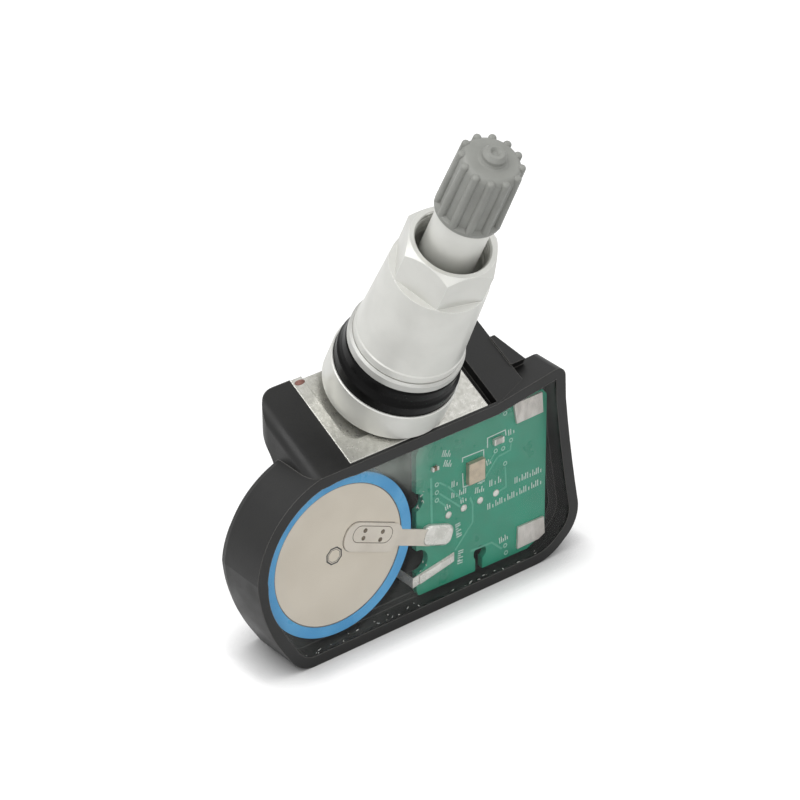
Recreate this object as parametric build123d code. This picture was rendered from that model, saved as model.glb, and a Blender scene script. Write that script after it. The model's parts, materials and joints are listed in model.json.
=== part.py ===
"""Tyre pressure sensor with a clamp-in valve stem.

Millimetres, +Z up. The sensor stands on its long lower edge. The potted face looks to -Y, the cell is at -X
and the antenna at +X. Sizes below are measured from the middle of the cell's visible face; the last step
moves everything so that the middle of the lowest plane is the origin.
"""

import os
from math import cos, radians, sin

from build123d import *

# How far a cutter runs past a face, and how far two fused solids reach into each other
PAST = 1.0
FUSE = 0.1

# Coin cell and its film sleeve, which the housing is built round
CELL_R = 12.25
CELL_DEPTH = 5.0
CELL_STEP = 0.85
CELL_STEP_DEPTH = 0.4
CAN_INSET = 0.15
CAN_R = CELL_R - CAN_INSET
FILM = 0.1
FILM_LAP = 0.05
SLEEVE_FILM = 0.25
SLEEVE_LAP = 1.63
SLEEVE_R = CELL_R + SLEEVE_FILM
SLEEVE_LIP_R = SLEEVE_R - SLEEVE_LAP
SLEEVE_RIGHT = 12.5
CELL_X = SLEEVE_RIGHT - SLEEVE_R
CELL_GAP = 0.15

# Housing
FACE_Y = -1.2
BACK_Y = 7.5
FLOOR_Z = -(CELL_R + 3.15)
TOP_Z = CELL_R + 1.9
LEFT_X = CELL_X - CELL_R - 2.15
RIGHT_X = 42.2
WALL = 1.7
BACK_LAYERS = ((BACK_Y - 1.3, 0.0), (BACK_Y - 0.55, 0.2), (BACK_Y, 0.75))
PANEL_Y = BACK_Y + 1.8
TRAY_Y = 1.5
WELL_Y = 5.6
WELL_LOW_Z = FLOOR_Z + 2.8
WELL_TOP_Z = TOP_Z - 3.35
POTTING_Y = -0.95

# Housing outline on the potted face, in order round it from the top left
ROUND_TOP = (LEFT_X + 10.8, TOP_Z)
ROUND_SHOULDER = (LEFT_X + 3.2, TOP_Z - 4.75)
ROUND_LEFT = (LEFT_X, 1.5)
ROUND_LOW = (LEFT_X + 1.1, -4.6)
CUT_HIGH = (LEFT_X + 3.8, FLOOR_Z + 4.8)
CUT_LOW = (LEFT_X + 5.2, FLOOR_Z + 2.5)
FLOOR_LEFT = (LEFT_X + 9.4, FLOOR_Z)
FLOOR_RIGHT = (RIGHT_X - 8.0, FLOOR_Z)
BULGE_LOW = (RIGHT_X - 2.5, FLOOR_Z + 2.2)
BULGE_MIDDLE = (RIGHT_X - 0.4, FLOOR_Z + 4.7)
BULGE_HIGH = (RIGHT_X, FLOOR_Z + 7.8)
WAIST = (RIGHT_X - 1.6, 2.0)
WAIST_HIGH = (RIGHT_X - 2.7, TOP_Z - 3.65)
CORNER_LOW = (RIGHT_X - 2.85, TOP_Z - 0.05)
CORNER_MIDDLE = (RIGHT_X - 3.35, TOP_Z + 1.2)
CORNER_HIGH = (RIGHT_X - 4.6, TOP_Z + 1.7)
SLOPE_END = (RIGHT_X - 15.2, TOP_Z)

# Well on the board's side, in order round it from the lower left
WELL_OUTLINE = (
    (5.0, WELL_LOW_Z),
    (RIGHT_X - 4.6, WELL_LOW_Z),
    (RIGHT_X - 3.2, WELL_LOW_Z + 4.6),
    (RIGHT_X - 5.0, 6.0),
    (RIGHT_X - 5.4, WELL_TOP_Z),
    (8.0, WELL_TOP_Z),
)

# Slope behind the tray's right shoulder, in the side view's Y and Z
BACK_SLOPE = ((3.4, TOP_Z + 2.35), (PANEL_Y + 0.7, TOP_Z + 2.35), (PANEL_Y + 0.7, TOP_Z - 6.5))
BACK_SLOPE_WIDTH = 12.0

# Saddle, the slanted seat of the valve stem; lengths run along the slant from the potted face
TILT = 27.3
SADDLE_LEFT = -4.6
SADDLE_RIGHT = 33.0
SADDLE_LENGTH = 15.35
SADDLE_NOSE = 2.15
RIB_WIDTH = 2.6
RIB_TOP_WIDTH = 0.8
RIB_FROM = 4.7
RIB_TO = 9.9
RIB_RISE = 0.25
RIB_ROOT = 5.0
RIB_OVERLAP = 0.2
EAR_ROUND = 3.3
EAR_EDGE = 1.6
EAR_DEPTH = 6.0
SEAT_BEHIND = 6.0
SEAT_ABOVE = 4.0

# Saddle in the side view's Y and Z: steps down its back from the top edge, then its foot and its underside
SADDLE_BACK = ((0.0, 0.0), (-0.3, -2.2), (-1.0, -4.4), (-2.6, -6.3))
SADDLE_FOOT = (BACK_Y - FUSE, TOP_Z - 3.55)
SADDLE_UNDER = (TRAY_Y + 0.5, TOP_Z - 4.65)

# Metal foot plate, set in the saddle
PLATE_LEFT = 1.7
PLATE_RIGHT = 25.6
PLATE_FRONT = 0.45
PLATE_GAP = 1.6
PLATE_BACK_GAP = 0.1
PLATE_FLANGE = 1.4
PLATE_POCKET = 0.8
PLATE_STRIP = 1.9
POCKET_FRONT = 3.4
POCKET_ROUND = 1.5
POCKET_SLOPE = 30.0
POCKET_HALF = 5.6
PLATE_BOSS = 3.4
BOSS_LEFT = 6.1
BOSS_RIGHT = 21.2
BOSS_FRONT = 3.7
BOSS_BACK_GAP = 0.7
BOSS_GAP = 0.1
STEM_X = 13.63
STEM_ALONG = 9.04

# Valve stem, measured along its axis from the saddle plane
COLLAR_LOW = 0.3
COLLAR_HIGH = 5.28
COLLAR_R = 9.05
COLLAR_CHAMFER = 0.25
COLLAR_LIP = 0.12
CUP_R = 8.75
CUP_FLOOR = 4.3
SHANK_R = 4.0
SHANK_LOW = -5.0
SHANK_GAP = 0.1
SEAT_R = 5.2
NUT_THREAD_R = 4.9
NUT_THREAD_HIGH = 25.5
NUT_THREAD_RUNOUT = 0.8
STEM_R = 3.9
STEM_HIGH = 38.2
CAP_THREAD_R = 3.6
STEM_END = 47.0
STEM_END_CHAMFER = 0.4
BORE_R = 1.5
BORE_LOW = -0.45
PORT_R = 0.4
PORT_HEIGHT = -0.2
PORT_LENGTH = 14.0
BARREL_BORE_R = 1.9
BARREL_BORE_LOW = 34.0
CORE_SEAT_LOW = 42.0
CORE_SEAT_HIGH = 42.8
CORE_BORE_R = 2.25

# Screw that pulls the stem onto the saddle from behind
SCREW_SEAT = -8.0
SCREW_R = 1.65
SCREW_END = -1.4
SCREW_TIP = 0.5
SCREW_TIP_R = 1.25
SCREW_HEAD_R = 3.3
SCREW_HEAD = 2.3
SCREW_HEAD_EDGE = 0.5
SCREW_HOLE_R = 2.15
SCREW_HEAD_HOLE_R = 3.6
SCREW_BORE_HIGH = -0.9
DRIVE_R = 1.25
DRIVE_LOBE_R = 0.4
DRIVE_LOBES = 6
DRIVE_DEPTH = 1.4
SCREW_BOSS_R = 5.6
SCREW_BOSS_LOW = -10.6
SCREW_BOSS_HIGH = -1.0

# Rubber grommet, collar nut and washer
GROMMET_GAP = 0.05
GROMMET_BARREL = ((CUP_R - GROMMET_GAP, 6.9), (8.45, 7.35), (8.25, 8.0), (8.15, 9.3))
GROMMET_TOP_R = 7.8
WASHER_LOW = 9.71
WASHER_HIGH = 11.28
WASHER_R = 8.15
WASHER_EDGE = 0.15
WASHER_BEVEL = 0.3
NECK_R = 5.6
NECK_HIGH = 13.0
NECK_CHAMFER = 0.3
NECK_GAP = 0.15
NUT_FOOT_R = 7.74
NUT_FOOT_EDGE = 0.14
NUT_FOOT_HIGH = 12.55
NUT_FOOT_TOP = 12.75
NUT_CONE_LOW = 14.0
NUT_CONE_LOW_R = 7.52
NUT_CORNER_R = 6.95
NUT_HIGH = 31.9
NUT_BEVEL = 1.1
NUT_TOP_R = 5.95
NUT_FLATS = 12.0
NUT_FLATS_LOW = 26.0
NUT_LEDGE_DROP = 0.6
NUT_MOUTH_R = 5.17
NUT_MOUTH_LOW = 28.9
NUT_BORE_HIGH = 28.6
NUT_BORE_LOW = 14.2
NUT_RELIEF_HIGH = 13.4
NUT_MOUTH_EDGE = 0.15
NUT_RUN = 0.07
NUT_CORNER_ANGLE = -130.0

# Valve cap
CAP_LOW = 38.3
CAP_TOP = 48.75
CAP_BOSS = 50.1
CAP_RIBS = 12
CAP_RIB_ANGLE = 22.0
CAP_RIB_R = 0.55
CAP_RIB_LEAN = 1.2
CAP_RIB_DROP = 0.15
CAP_RIB_END = 0.44
CAP_CORE_R = 4.05
CAP_EDGE = 0.95
CAP_CROWN = 0.15
CAP_SKIRT_R = 4.6
CAP_SKIRT = 0.95
CAP_SKIRT_EDGE = 0.12
CAP_SKIRT_SLOPE = 0.3
CAP_RUN = 0.08
BOSS_FOOT_R = 2.2
BOSS_SIDE_R = 1.65
BOSS_TOP_R = 1.2
BOSS_SIDE_LOW = 49.09
BOSS_SIDE_HIGH = 49.56
BOSS_FILLET_R = 1.83
DIMPLE_R = 0.75
DIMPLE = 0.4
CAP_SEAL = 0.5
CAP_SEAL_GAP = 0.1

# Valve core, heights along the stem axis
CORE_LOW = 38.5
CORE_BARREL_R = 1.45
CORE_PLUG_LOW = 43.4
CORE_PLUG_R = 2.2
CORE_HIGH = 46.2
CORE_FLOOR = 39.2
CORE_ROOF = 43.1
CORE_SPRING_HOLE_R = 1.1
CORE_PIN_HOLE_R = 0.58
CORE_SLOT = 1.0
CORE_SLOT_LOW = 44.9
CORE_SEAL_R = 2.15
CORE_SEAL_WAIST_R = 1.85
CORE_SEAL_LOW = 42.1
PIN_R = 0.5
PIN_LOW = 37.6
PIN_HIGH = 46.6
PIN_POINT = 0.3
PIN_POINT_R = 0.3
PIN_COLLAR_R = 0.95
PIN_COLLAR_LOW = 42.6
POPPET_R = 1.3
POPPET_CHAMFER = 0.3
SPRING_R = 0.8
SPRING_WIRE_R = 0.12
SPRING_PITCH = 0.68
SPRING_GAP = 0.01

# Board and what stands on it, as (x, z) on the potted face
BOARD_FRONT = 0.5
BOARD_BACK = 1.5
BOARD_LEFT = SLEEVE_RIGHT + 1.45
BOARD_RIGHT = RIGHT_X - 4.8
BOARD_LOW = FLOOR_Z + 2.05
BOARD_HIGH = TOP_Z - 1.95
BOARD_OUTLINE = (
    (BOARD_LEFT + 1.2, BOARD_HIGH),
    (BOARD_RIGHT - 0.8, BOARD_HIGH),
    (BOARD_RIGHT, BOARD_HIGH - 1.0),
    (BOARD_RIGHT, BOARD_LOW + 1.5),
    (BOARD_RIGHT - 3.2, BOARD_LOW),
    (BOARD_LEFT + 0.4, BOARD_LOW + 0.4),
    (BOARD_LEFT, BOARD_LOW + 1.2),
    (BOARD_LEFT, BOARD_HIGH - 2.0),
)
NOTCH_HIGH = (1.5, BOARD_LEFT - 0.3, 2.5)
NOTCH_LOW = (1.9, BOARD_LEFT + 0.1, -7.3)
KEYHOLE = (1.15, 25.4, -10.4)
KEYHOLE_SLOT = (25.2, -12.4)
KEYHOLE_SLOT_SIZE = (1.3, 4.0)
TAB_TURN = -23.0
TAB_THICK = 0.2
TAB_WIDE_SPOT = (5.9, 0.55)
TAB_WIDE_SIZE = (10.4, 4.4)
TAB_WIDE_ROUND = 1.9
TAB_NARROW_SPOT = (12.4, -2.15)
TAB_NARROW_SIZE = (8.4, 2.5)
STRIP_THICK = 0.15
STRIP_LEG_X = 13.3
STRIP_TAIL = ((2.0, -6.4), (STRIP_LEG_X, -9.4), (STRIP_LEG_X, -11.6), (2.0, -8.6))
STRIP_WELD = (3.0, 3.0, -7.0)
STRIP_LEG_Z = (-11.2, -9.6)
STRIP_FOOT = (
    (STRIP_LEG_X - STRIP_THICK, STRIP_LEG_Z[0]),
    (20.6, -9.7),
    (20.6, -8.3),
    (STRIP_LEG_X - STRIP_THICK, STRIP_LEG_Z[1]),
)
STRIP_FRONT = BOARD_FRONT - STRIP_THICK
HILL_SPOT = (17.3, -3.9)
HILL_TURN = -20.0
HILL_SIZE = (5.6, 3.2)
HILL_ROUND = 1.2
HILL_FRONT = -0.35
HILL_CHAMFER = 0.35
FLOOD = ((14.3, -10.9), (20.4, -9.6), (20.4, -8.5), (14.3, -9.5))
FLOOD_FRONT = 0.15
LAND_HIGH = ((31.1, 12.0), (36.3, 12.0), (36.5, 8.7), (31.7, 8.6))
LAND_LOW = ((32.2, -8.8), (37.0, -8.9), (37.2, -11.7), (36.0, -12.3), (32.1, -12.4))
LAND_FRONT = 0.15
PAD_R = 0.75
PAD_RISE = 0.06
PADS = ((28.1, -1.5), (25.4, -1.6), (22.5, -1.7), (19.6, -1.7))
CRYSTAL = ((22.8, 5.5), (25.7, 5.5), (25.7, 2.1), (22.8, 2.1))
CRYSTAL_RISE = 0.7
INDUCTOR_SPOT = (28.4, 7.1)
INDUCTOR_SIZE = (1.7, 0.9)
INDUCTOR_RISE = 0.5
CAPACITOR_SPOT = (17.1, 6.95)
CAPACITOR_SIZE = (1.1, 0.6)
CAPACITOR_RISE = 0.4
CHIP_X = 20.0
CHIP_Z = 0.0
CHIP_HALF = 2.6
CHIP_DEPTH = 3.2
CHIP_SEAL_R = 2.2
CHIP_PORT_R = 0.8
COIL_X = (23.4, 31.0)
COIL_Z = (-9.6, -6.9)
COIL_DEPTH = 4.2
ANTENNA_X = (32.4, 36.0)
ANTENNA_Z = (-11.6, 10.3)
ANTENNA_THICK = 0.4
ANTENNA_DEPTH = 5.0

SADDLE = Plane(
    origin=(0, FACE_Y, TOP_Z),
    x_dir=(1, 0, 0),
    z_dir=(0, -sin(radians(TILT)), cos(radians(TILT))),
)
STEM = Plane(
    origin=SADDLE.from_local_coords((STEM_X, STEM_ALONG, 0)),
    x_dir=(1, 0, 0),
    z_dir=SADDLE.z_dir,
)


def facing(y):
    """A plane at depth y whose local axes are X and Z and whose normal looks to the front."""
    return Plane(origin=(0, y, 0), x_dir=(1, 0, 0), z_dir=(0, -1, 0))


def slab(face, back, front):
    """Extrudes a flat face drawn in X and Z from depth back to depth front."""
    return extrude(facing(back) * face, amount=back - front)


def box(x, y, z):
    """A box from three (low, high) pairs."""
    size = [high - low for low, high in (x, y, z)]
    middle = [(high + low) / 2 for low, high in (x, y, z)]
    return Pos(*middle) * Box(*size)


def turned(*points):
    """A turned solid on the stem axis from (radius, height) points."""
    profile = Plane.XZ * make_face(Polyline(*points, close=True))
    return STEM.location * revolve(profile, Axis.Z)


def rod(radius, low, high):
    """A cylinder on the stem axis."""
    return turned((0, low), (radius, low), (radius, high), (0, high))


def polygon(*points):
    """A flat face from its corners."""
    return make_face(Polyline(*points, close=True))


def disc(radius, x, z):
    """A flat round face."""
    return Pos(x, z) * Circle(radius)


def front_outline():
    """The housing's outline as seen on the potted face."""
    edges = [
        ThreePointArc(ROUND_TOP, ROUND_SHOULDER, ROUND_LEFT),
        ThreePointArc(ROUND_LEFT, ROUND_LOW, CUT_HIGH),
        Line(CUT_HIGH, CUT_LOW),
        TangentArc(FLOOR_LEFT, CUT_LOW, tangent=(-1, 0)),
        Line(FLOOR_LEFT, FLOOR_RIGHT),
        TangentArc(FLOOR_RIGHT, BULGE_LOW, tangent=(1, 0)),
        ThreePointArc(BULGE_LOW, BULGE_MIDDLE, BULGE_HIGH),
        ThreePointArc(BULGE_HIGH, WAIST, WAIST_HIGH),
        Line(WAIST_HIGH, CORNER_LOW),
        ThreePointArc(CORNER_LOW, CORNER_MIDDLE, CORNER_HIGH),
        Line(CORNER_HIGH, SLOPE_END),
        Line(SLOPE_END, ROUND_TOP),
    ]
    return make_face(edges)


def tray_face():
    """The open front tray that the board and the cell drop into."""
    return offset(front_outline(), amount=-WALL) + disc(SLEEVE_R + CELL_GAP, CELL_X, 0)


def well_face():
    """The deeper well behind the board and round the cell."""
    return polygon(*WELL_OUTLINE) + disc(SLEEVE_R + CELL_GAP, CELL_X, 0)


def back_panel():
    """The thicker middle of the back, level with the floor that the sensor stands on."""
    face = Pos(0, -WALL) * offset(front_outline(), amount=-WALL)
    return slab(face, PANEL_Y, BACK_LAYERS[0][0] - FUSE)


def saddle_block():
    """The slanted block with its two ears, in the side view's Y and Z."""
    back = FACE_Y + SADDLE_LENGTH * cos(radians(TILT))
    top = TOP_Z + SADDLE_LENGTH * sin(radians(TILT))
    behind = [(back + y, top + z) for y, z in SADDLE_BACK]
    profile = make_face(
        [
            Line((FACE_Y, TOP_Z), behind[0]),
            Spline(*behind, SADDLE_FOOT),
            Polyline(SADDLE_FOOT, SADDLE_UNDER, (FACE_Y, TOP_Z - SADDLE_NOSE), (FACE_Y, TOP_Z)),
        ]
    )
    side = Plane(origin=(SADDLE_LEFT, 0, 0), x_dir=(0, 1, 0), z_dir=(1, 0, 0))
    block = extrude(side * profile, amount=SADDLE_RIGHT - SADDLE_LEFT)
    outer = block.faces().sort_by(Axis.X)[0].edges()
    block = fillet(outer.filter_by(GeomType.LINE).sort_by(Axis.Z)[-1], EAR_EDGE)
    plan = box((SADDLE_LEFT, SADDLE_RIGHT), (FACE_Y, back), (TOP_Z - EAR_DEPTH, top + PAST))
    corner = plan.edges().filter_by(Axis.Z).sort_by(Axis.X)[:2].sort_by(Axis.Y)[-1]
    return block & fillet(corner, EAR_ROUND)


def right_rib():
    """The tapered rib beside the saddle's right ear."""
    inner = SADDLE_RIGHT - RIB_OVERLAP
    wedge = polygon(
        (inner, RIB_FROM), (inner + RIB_WIDTH, RIB_FROM), (inner + RIB_TOP_WIDTH, RIB_TO), (inner, RIB_TO)
    )
    return SADDLE.location * extrude(Pos(0, 0, -RIB_ROOT) * wedge, amount=RIB_ROOT + RIB_RISE)


def housing():
    """The moulded shell: round battery end, potted tray, saddle and screw boss."""
    layers = []
    for depth, inset in BACK_LAYERS:
        face = offset(front_outline(), amount=-inset, kind=Kind.INTERSECTION) if inset else front_outline()
        layers.append((depth, face))
    shell = slab(layers[0][1], layers[0][0], FACE_Y)
    for (near, near_face), (far, far_face) in zip(layers, layers[1:]):
        shell += loft([facing(near) * near_face, facing(far) * far_face], ruled=True)
    shell += back_panel()
    side = Plane(origin=(SADDLE_RIGHT, 0, 0), x_dir=(0, 1, 0), z_dir=(1, 0, 0))
    shell -= extrude(side * polygon(*BACK_SLOPE), amount=BACK_SLOPE_WIDTH)
    shell += saddle_block() + right_rib() + rod(SCREW_BOSS_R, SCREW_BOSS_LOW, SCREW_BOSS_HIGH)
    shell -= slab(tray_face(), TRAY_Y, FACE_Y - PAST)
    shell -= slab(well_face(), WELL_Y, TRAY_Y - PAST)
    behind = SADDLE_LENGTH + SEAT_BEHIND
    flange_seat = box(
        (PLATE_LEFT, PLATE_RIGHT + PLATE_GAP), (PLATE_FRONT, behind), (-PLATE_FLANGE, SEAT_ABOVE)
    )
    boss_seat = box(
        (BOSS_LEFT - BOSS_GAP, BOSS_RIGHT + BOSS_GAP), (BOSS_FRONT - BOSS_GAP, behind), (-PLATE_BOSS, PAST)
    )
    shell -= SADDLE.location * flange_seat
    shell -= SADDLE.location * boss_seat
    shell -= rod(SHANK_R + SHANK_GAP, SHANK_LOW - 2 * SHANK_GAP, 2 * PAST)
    shell -= rod(SCREW_HOLE_R, SCREW_SEAT - PAST, 0)
    shell -= rod(SCREW_HEAD_HOLE_R, SCREW_SEAT - SEAT_BEHIND, SCREW_SEAT)
    return shell - slab(disc(CHIP_PORT_R, CHIP_X, CHIP_Z), PANEL_Y + PAST, WELL_Y - PAST)


def foot_plate():
    """The metal foot that the stem is clamped on, with a raised strip beside a slope-walled pocket."""
    plate = box((PLATE_LEFT, PLATE_RIGHT), (PLATE_FRONT, SADDLE_LENGTH - PLATE_BACK_GAP), (-PLATE_FLANGE, 0))
    boss_back = SADDLE_LENGTH - BOSS_BACK_GAP
    plate += box((BOSS_LEFT, BOSS_RIGHT), (BOSS_FRONT, boss_back), (-PLATE_BOSS, -PLATE_POCKET - FUSE))
    slope = PLATE_POCKET * sin(radians(POCKET_SLOPE)) / cos(radians(POCKET_SLOPE))
    left, right = PLATE_LEFT + PLATE_STRIP + slope, STEM_X + POCKET_HALF - slope
    front, back = POCKET_FRONT + slope, SADDLE_LENGTH + SEAT_BEHIND
    outline = polygon((left, front), (right, front), (right, back), (left, back))
    floor = fillet(outline.vertices().sort_by(Axis.Y)[:2], POCKET_ROUND)
    pocket = extrude(Pos(0, 0, -PLATE_POCKET) * floor, amount=PLATE_POCKET + FUSE, taper=-POCKET_SLOPE)
    plate = SADDLE.location * (plate - pocket)
    return plate - rod(SHANK_R, -PLATE_BOSS - PAST, PAST)


def valve_stem():
    """The turned stem: shank, collar cup, nut thread, plain neck and cap thread, bored through."""
    body = turned(
        (0, SHANK_LOW),
        (SHANK_R, SHANK_LOW),
        (SHANK_R, -PLATE_POCKET),
        (SEAT_R, -PLATE_POCKET),
        (SEAT_R, COLLAR_LOW),
        (COLLAR_R - COLLAR_CHAMFER, COLLAR_LOW),
        (COLLAR_R, COLLAR_LOW + COLLAR_CHAMFER),
        (COLLAR_R, COLLAR_HIGH - COLLAR_LIP),
        (COLLAR_R - COLLAR_LIP, COLLAR_HIGH),
        (CUP_R, COLLAR_HIGH),
        (CUP_R, CUP_FLOOR),
        (NUT_THREAD_R, CUP_FLOOR),
        (NUT_THREAD_R, NUT_THREAD_HIGH),
        (STEM_R, NUT_THREAD_HIGH + NUT_THREAD_RUNOUT),
        (STEM_R, STEM_HIGH),
        (CAP_THREAD_R, STEM_HIGH),
        (CAP_THREAD_R, STEM_END - STEM_END_CHAMFER),
        (CAP_THREAD_R - STEM_END_CHAMFER, STEM_END),
        (0, STEM_END),
    )
    body -= turned(
        (0, BORE_LOW),
        (BORE_R, BORE_LOW),
        (BORE_R, BARREL_BORE_LOW),
        (BARREL_BORE_R, BARREL_BORE_LOW + (BARREL_BORE_R - BORE_R)),
        (BARREL_BORE_R, CORE_SEAT_LOW),
        (CORE_BORE_R, CORE_SEAT_HIGH),
        (CORE_BORE_R, STEM_END + PAST),
        (0, STEM_END + PAST),
    )
    body -= rod(SCREW_R, SHANK_LOW - PAST, SCREW_BORE_HIGH)
    return body - STEM.location * (Pos(0, 0, PORT_HEIGHT) * (Rot(0, 90, 0) * Cylinder(PORT_R, PORT_LENGTH)))


def stem_grommet():
    """The rubber seal: a flange in the collar's cup and a neck for the wheel's valve hole."""
    return turned(
        (NUT_THREAD_R, CUP_FLOOR),
        (CUP_R - GROMMET_GAP, CUP_FLOOR),
        *GROMMET_BARREL,
        (GROMMET_TOP_R, WASHER_LOW),
        (NECK_R, WASHER_LOW),
        (NECK_R, NECK_HIGH - NECK_CHAMFER),
        (NECK_R - NECK_CHAMFER, NECK_HIGH),
        (NUT_THREAD_R, NECK_HIGH),
    )


def retaining_screw():
    """The screw that pulls the stem onto the housing from behind, with a six-lobe recess."""
    head = SCREW_SEAT - SCREW_HEAD
    screw = turned(
        (0, head),
        (SCREW_HEAD_R - SCREW_HEAD_EDGE + FUSE, head),
        (SCREW_HEAD_R, head + SCREW_HEAD_EDGE),
        (SCREW_HEAD_R, SCREW_SEAT),
        (SCREW_R, SCREW_SEAT),
        (SCREW_R, SCREW_END - SCREW_TIP),
        (SCREW_TIP_R, SCREW_END),
        (0, SCREW_END),
    )
    drive = rod(DRIVE_R, head - PAST, head + DRIVE_DEPTH)
    lobe = Cylinder(DRIVE_LOBE_R, DRIVE_DEPTH + PAST)
    for step in range(DRIVE_LOBES):
        way = radians(360 / DRIVE_LOBES * step)
        spot = Pos(DRIVE_R * cos(way), DRIVE_R * sin(way), head + (DRIVE_DEPTH - PAST) / 2)
        drive += STEM.location * (spot * lobe)
    return screw - drive


def nut_washer():
    """The loose washer under the collar nut."""
    bore = NECK_R + NECK_GAP
    return turned(
        (bore, WASHER_LOW),
        (WASHER_R - WASHER_EDGE, WASHER_LOW),
        (WASHER_R, WASHER_LOW + WASHER_EDGE),
        (WASHER_R, WASHER_HIGH - WASHER_BEVEL),
        (WASHER_R - WASHER_BEVEL, WASHER_HIGH),
        (bore, WASHER_HIGH),
    )


def collar_nut():
    """The long collar nut: a cone with six milled flats at its top and a plain bored thread."""
    bore = NUT_THREAD_R + NUT_RUN
    nut = turned(
        (NECK_R + NECK_GAP, WASHER_HIGH),
        (NUT_FOOT_R - NUT_FOOT_EDGE, WASHER_HIGH),
        (NUT_FOOT_R, WASHER_HIGH + NUT_FOOT_EDGE),
        (NUT_FOOT_R, NUT_FOOT_HIGH),
        (NUT_FOOT_R - NUT_FOOT_EDGE, NUT_FOOT_TOP),
        (NUT_CONE_LOW_R, NUT_CONE_LOW),
        (NUT_CORNER_R, NUT_FLATS_LOW),
        (NUT_CORNER_R, NUT_HIGH - NUT_BEVEL),
        (NUT_TOP_R, NUT_HIGH),
        (NUT_MOUTH_R + NUT_MOUTH_EDGE, NUT_HIGH),
        (NUT_MOUTH_R, NUT_HIGH - NUT_MOUTH_EDGE),
        (NUT_MOUTH_R, NUT_MOUTH_LOW),
        (bore, NUT_BORE_HIGH),
        (bore, NUT_BORE_LOW),
        (NECK_R + NECK_GAP, NUT_RELIEF_HIGH),
    )
    flat, outside, above = NUT_FLATS / 2, NUT_CORNER_R + 2 * PAST, NUT_HIGH + 2 * PAST
    ledge = NUT_FLATS_LOW - NUT_LEDGE_DROP
    side = polygon((flat, NUT_FLATS_LOW), (outside, ledge), (outside, above), (flat, above))
    cutter = extrude(Plane.XZ * side, amount=NUT_CORNER_R, both=True)
    for step in range(6):
        nut -= STEM.location * (Rot(0, 0, NUT_CORNER_ANGLE + 30 + 60 * step) * cutter)
    return nut


def cap_core():
    """The cap's turned body: skirt, straight wall, rounded shoulder and slightly crowned top."""
    skirt, shoulder = CAP_LOW + CAP_SKIRT, CAP_TOP - CAP_CROWN - CAP_EDGE
    inner = CAP_CORE_R - CAP_EDGE
    side = Polyline(
        (0, CAP_TOP),
        (0, CAP_LOW),
        (CAP_SKIRT_R - CAP_SKIRT_EDGE, CAP_LOW),
        (CAP_SKIRT_R, CAP_LOW + CAP_SKIRT_EDGE),
        (CAP_SKIRT_R, skirt - CAP_SKIRT_SLOPE),
        (CAP_CORE_R, skirt),
        (CAP_CORE_R, shoulder),
    )
    turn = TangentArc((CAP_CORE_R, shoulder), (inner, shoulder + CAP_EDGE), tangent=(0, 1))
    crown = Line((inner, shoulder + CAP_EDGE), (0, CAP_TOP))
    return STEM.location * revolve(Plane.XZ * make_face([side, turn, crown]), Axis.Z)


def cap_boss():
    """The boss on the cap's top, with a hollowed foot and a dimple."""
    return turned(
        (0, CAP_TOP - CAP_EDGE),
        (BOSS_FOOT_R, CAP_TOP - CAP_EDGE),
        (BOSS_FOOT_R, CAP_TOP - CAP_CROWN),
        (BOSS_FILLET_R, CAP_TOP),
        (BOSS_SIDE_R, BOSS_SIDE_LOW),
        (BOSS_SIDE_R, BOSS_SIDE_HIGH),
        (BOSS_TOP_R, CAP_BOSS),
        (DIMPLE_R, CAP_BOSS),
        (DIMPLE_R / 2, CAP_BOSS - DIMPLE),
        (0, CAP_BOSS - DIMPLE),
    )


def valve_cap():
    """The dust cap: twelve narrow round ribs that end as knobs at the top, a skirt and a dimpled boss."""
    cap = cap_core()
    low, high = CAP_LOW + CAP_SKIRT / 2, CAP_TOP - CAP_RIB_DROP
    bar = Cylinder(CAP_RIB_R, high - low)
    bar = fillet(bar.edges().sort_by(Axis.Z)[-1], CAP_RIB_END)
    lean = Pos(CAP_CORE_R, 0, (low + high) / 2) * (Rot(0, -CAP_RIB_LEAN, 0) * bar)
    for step in range(CAP_RIBS):
        cap += STEM.location * (Rot(0, 0, CAP_RIB_ANGLE + 360 / CAP_RIBS * step) * lean)
    cap += cap_boss()
    return cap - rod(CAP_THREAD_R + CAP_RUN, CAP_LOW - PAST, STEM_END + CAP_SEAL)


def cap_seal():
    """The rubber disc in the cap that closes on the stem's end."""
    return rod(CAP_THREAD_R - CAP_SEAL_GAP, STEM_END, STEM_END + CAP_SEAL)


def core_body():
    """The valve core's screwed plug and barrel."""
    plug = turned(
        (0, CORE_LOW),
        (CORE_BARREL_R, CORE_LOW),
        (CORE_BARREL_R, CORE_PLUG_LOW),
        (CORE_PLUG_R, CORE_PLUG_LOW),
        (CORE_PLUG_R, CORE_HIGH),
        (0, CORE_HIGH),
    )
    plug -= rod(CORE_SPRING_HOLE_R, CORE_FLOOR, CORE_ROOF)
    plug -= rod(CORE_PIN_HOLE_R, CORE_LOW - PAST, CORE_HIGH + PAST)
    half, across = CORE_SLOT / 2, 2 * CORE_PLUG_R
    slot = box((-half, half), (-across, across), (CORE_SLOT_LOW, CORE_HIGH + PAST))
    return plug - STEM.location * slot


def core_seal():
    """The sealing ring round the core's barrel."""
    return turned(
        (CORE_BARREL_R, CORE_SEAL_LOW),
        (CORE_SEAL_WAIST_R, CORE_SEAL_LOW),
        (CORE_SEAL_R, CORE_SEAT_HIGH),
        (CORE_SEAL_R, CORE_PLUG_LOW),
        (CORE_BARREL_R, CORE_PLUG_LOW),
    )


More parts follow.
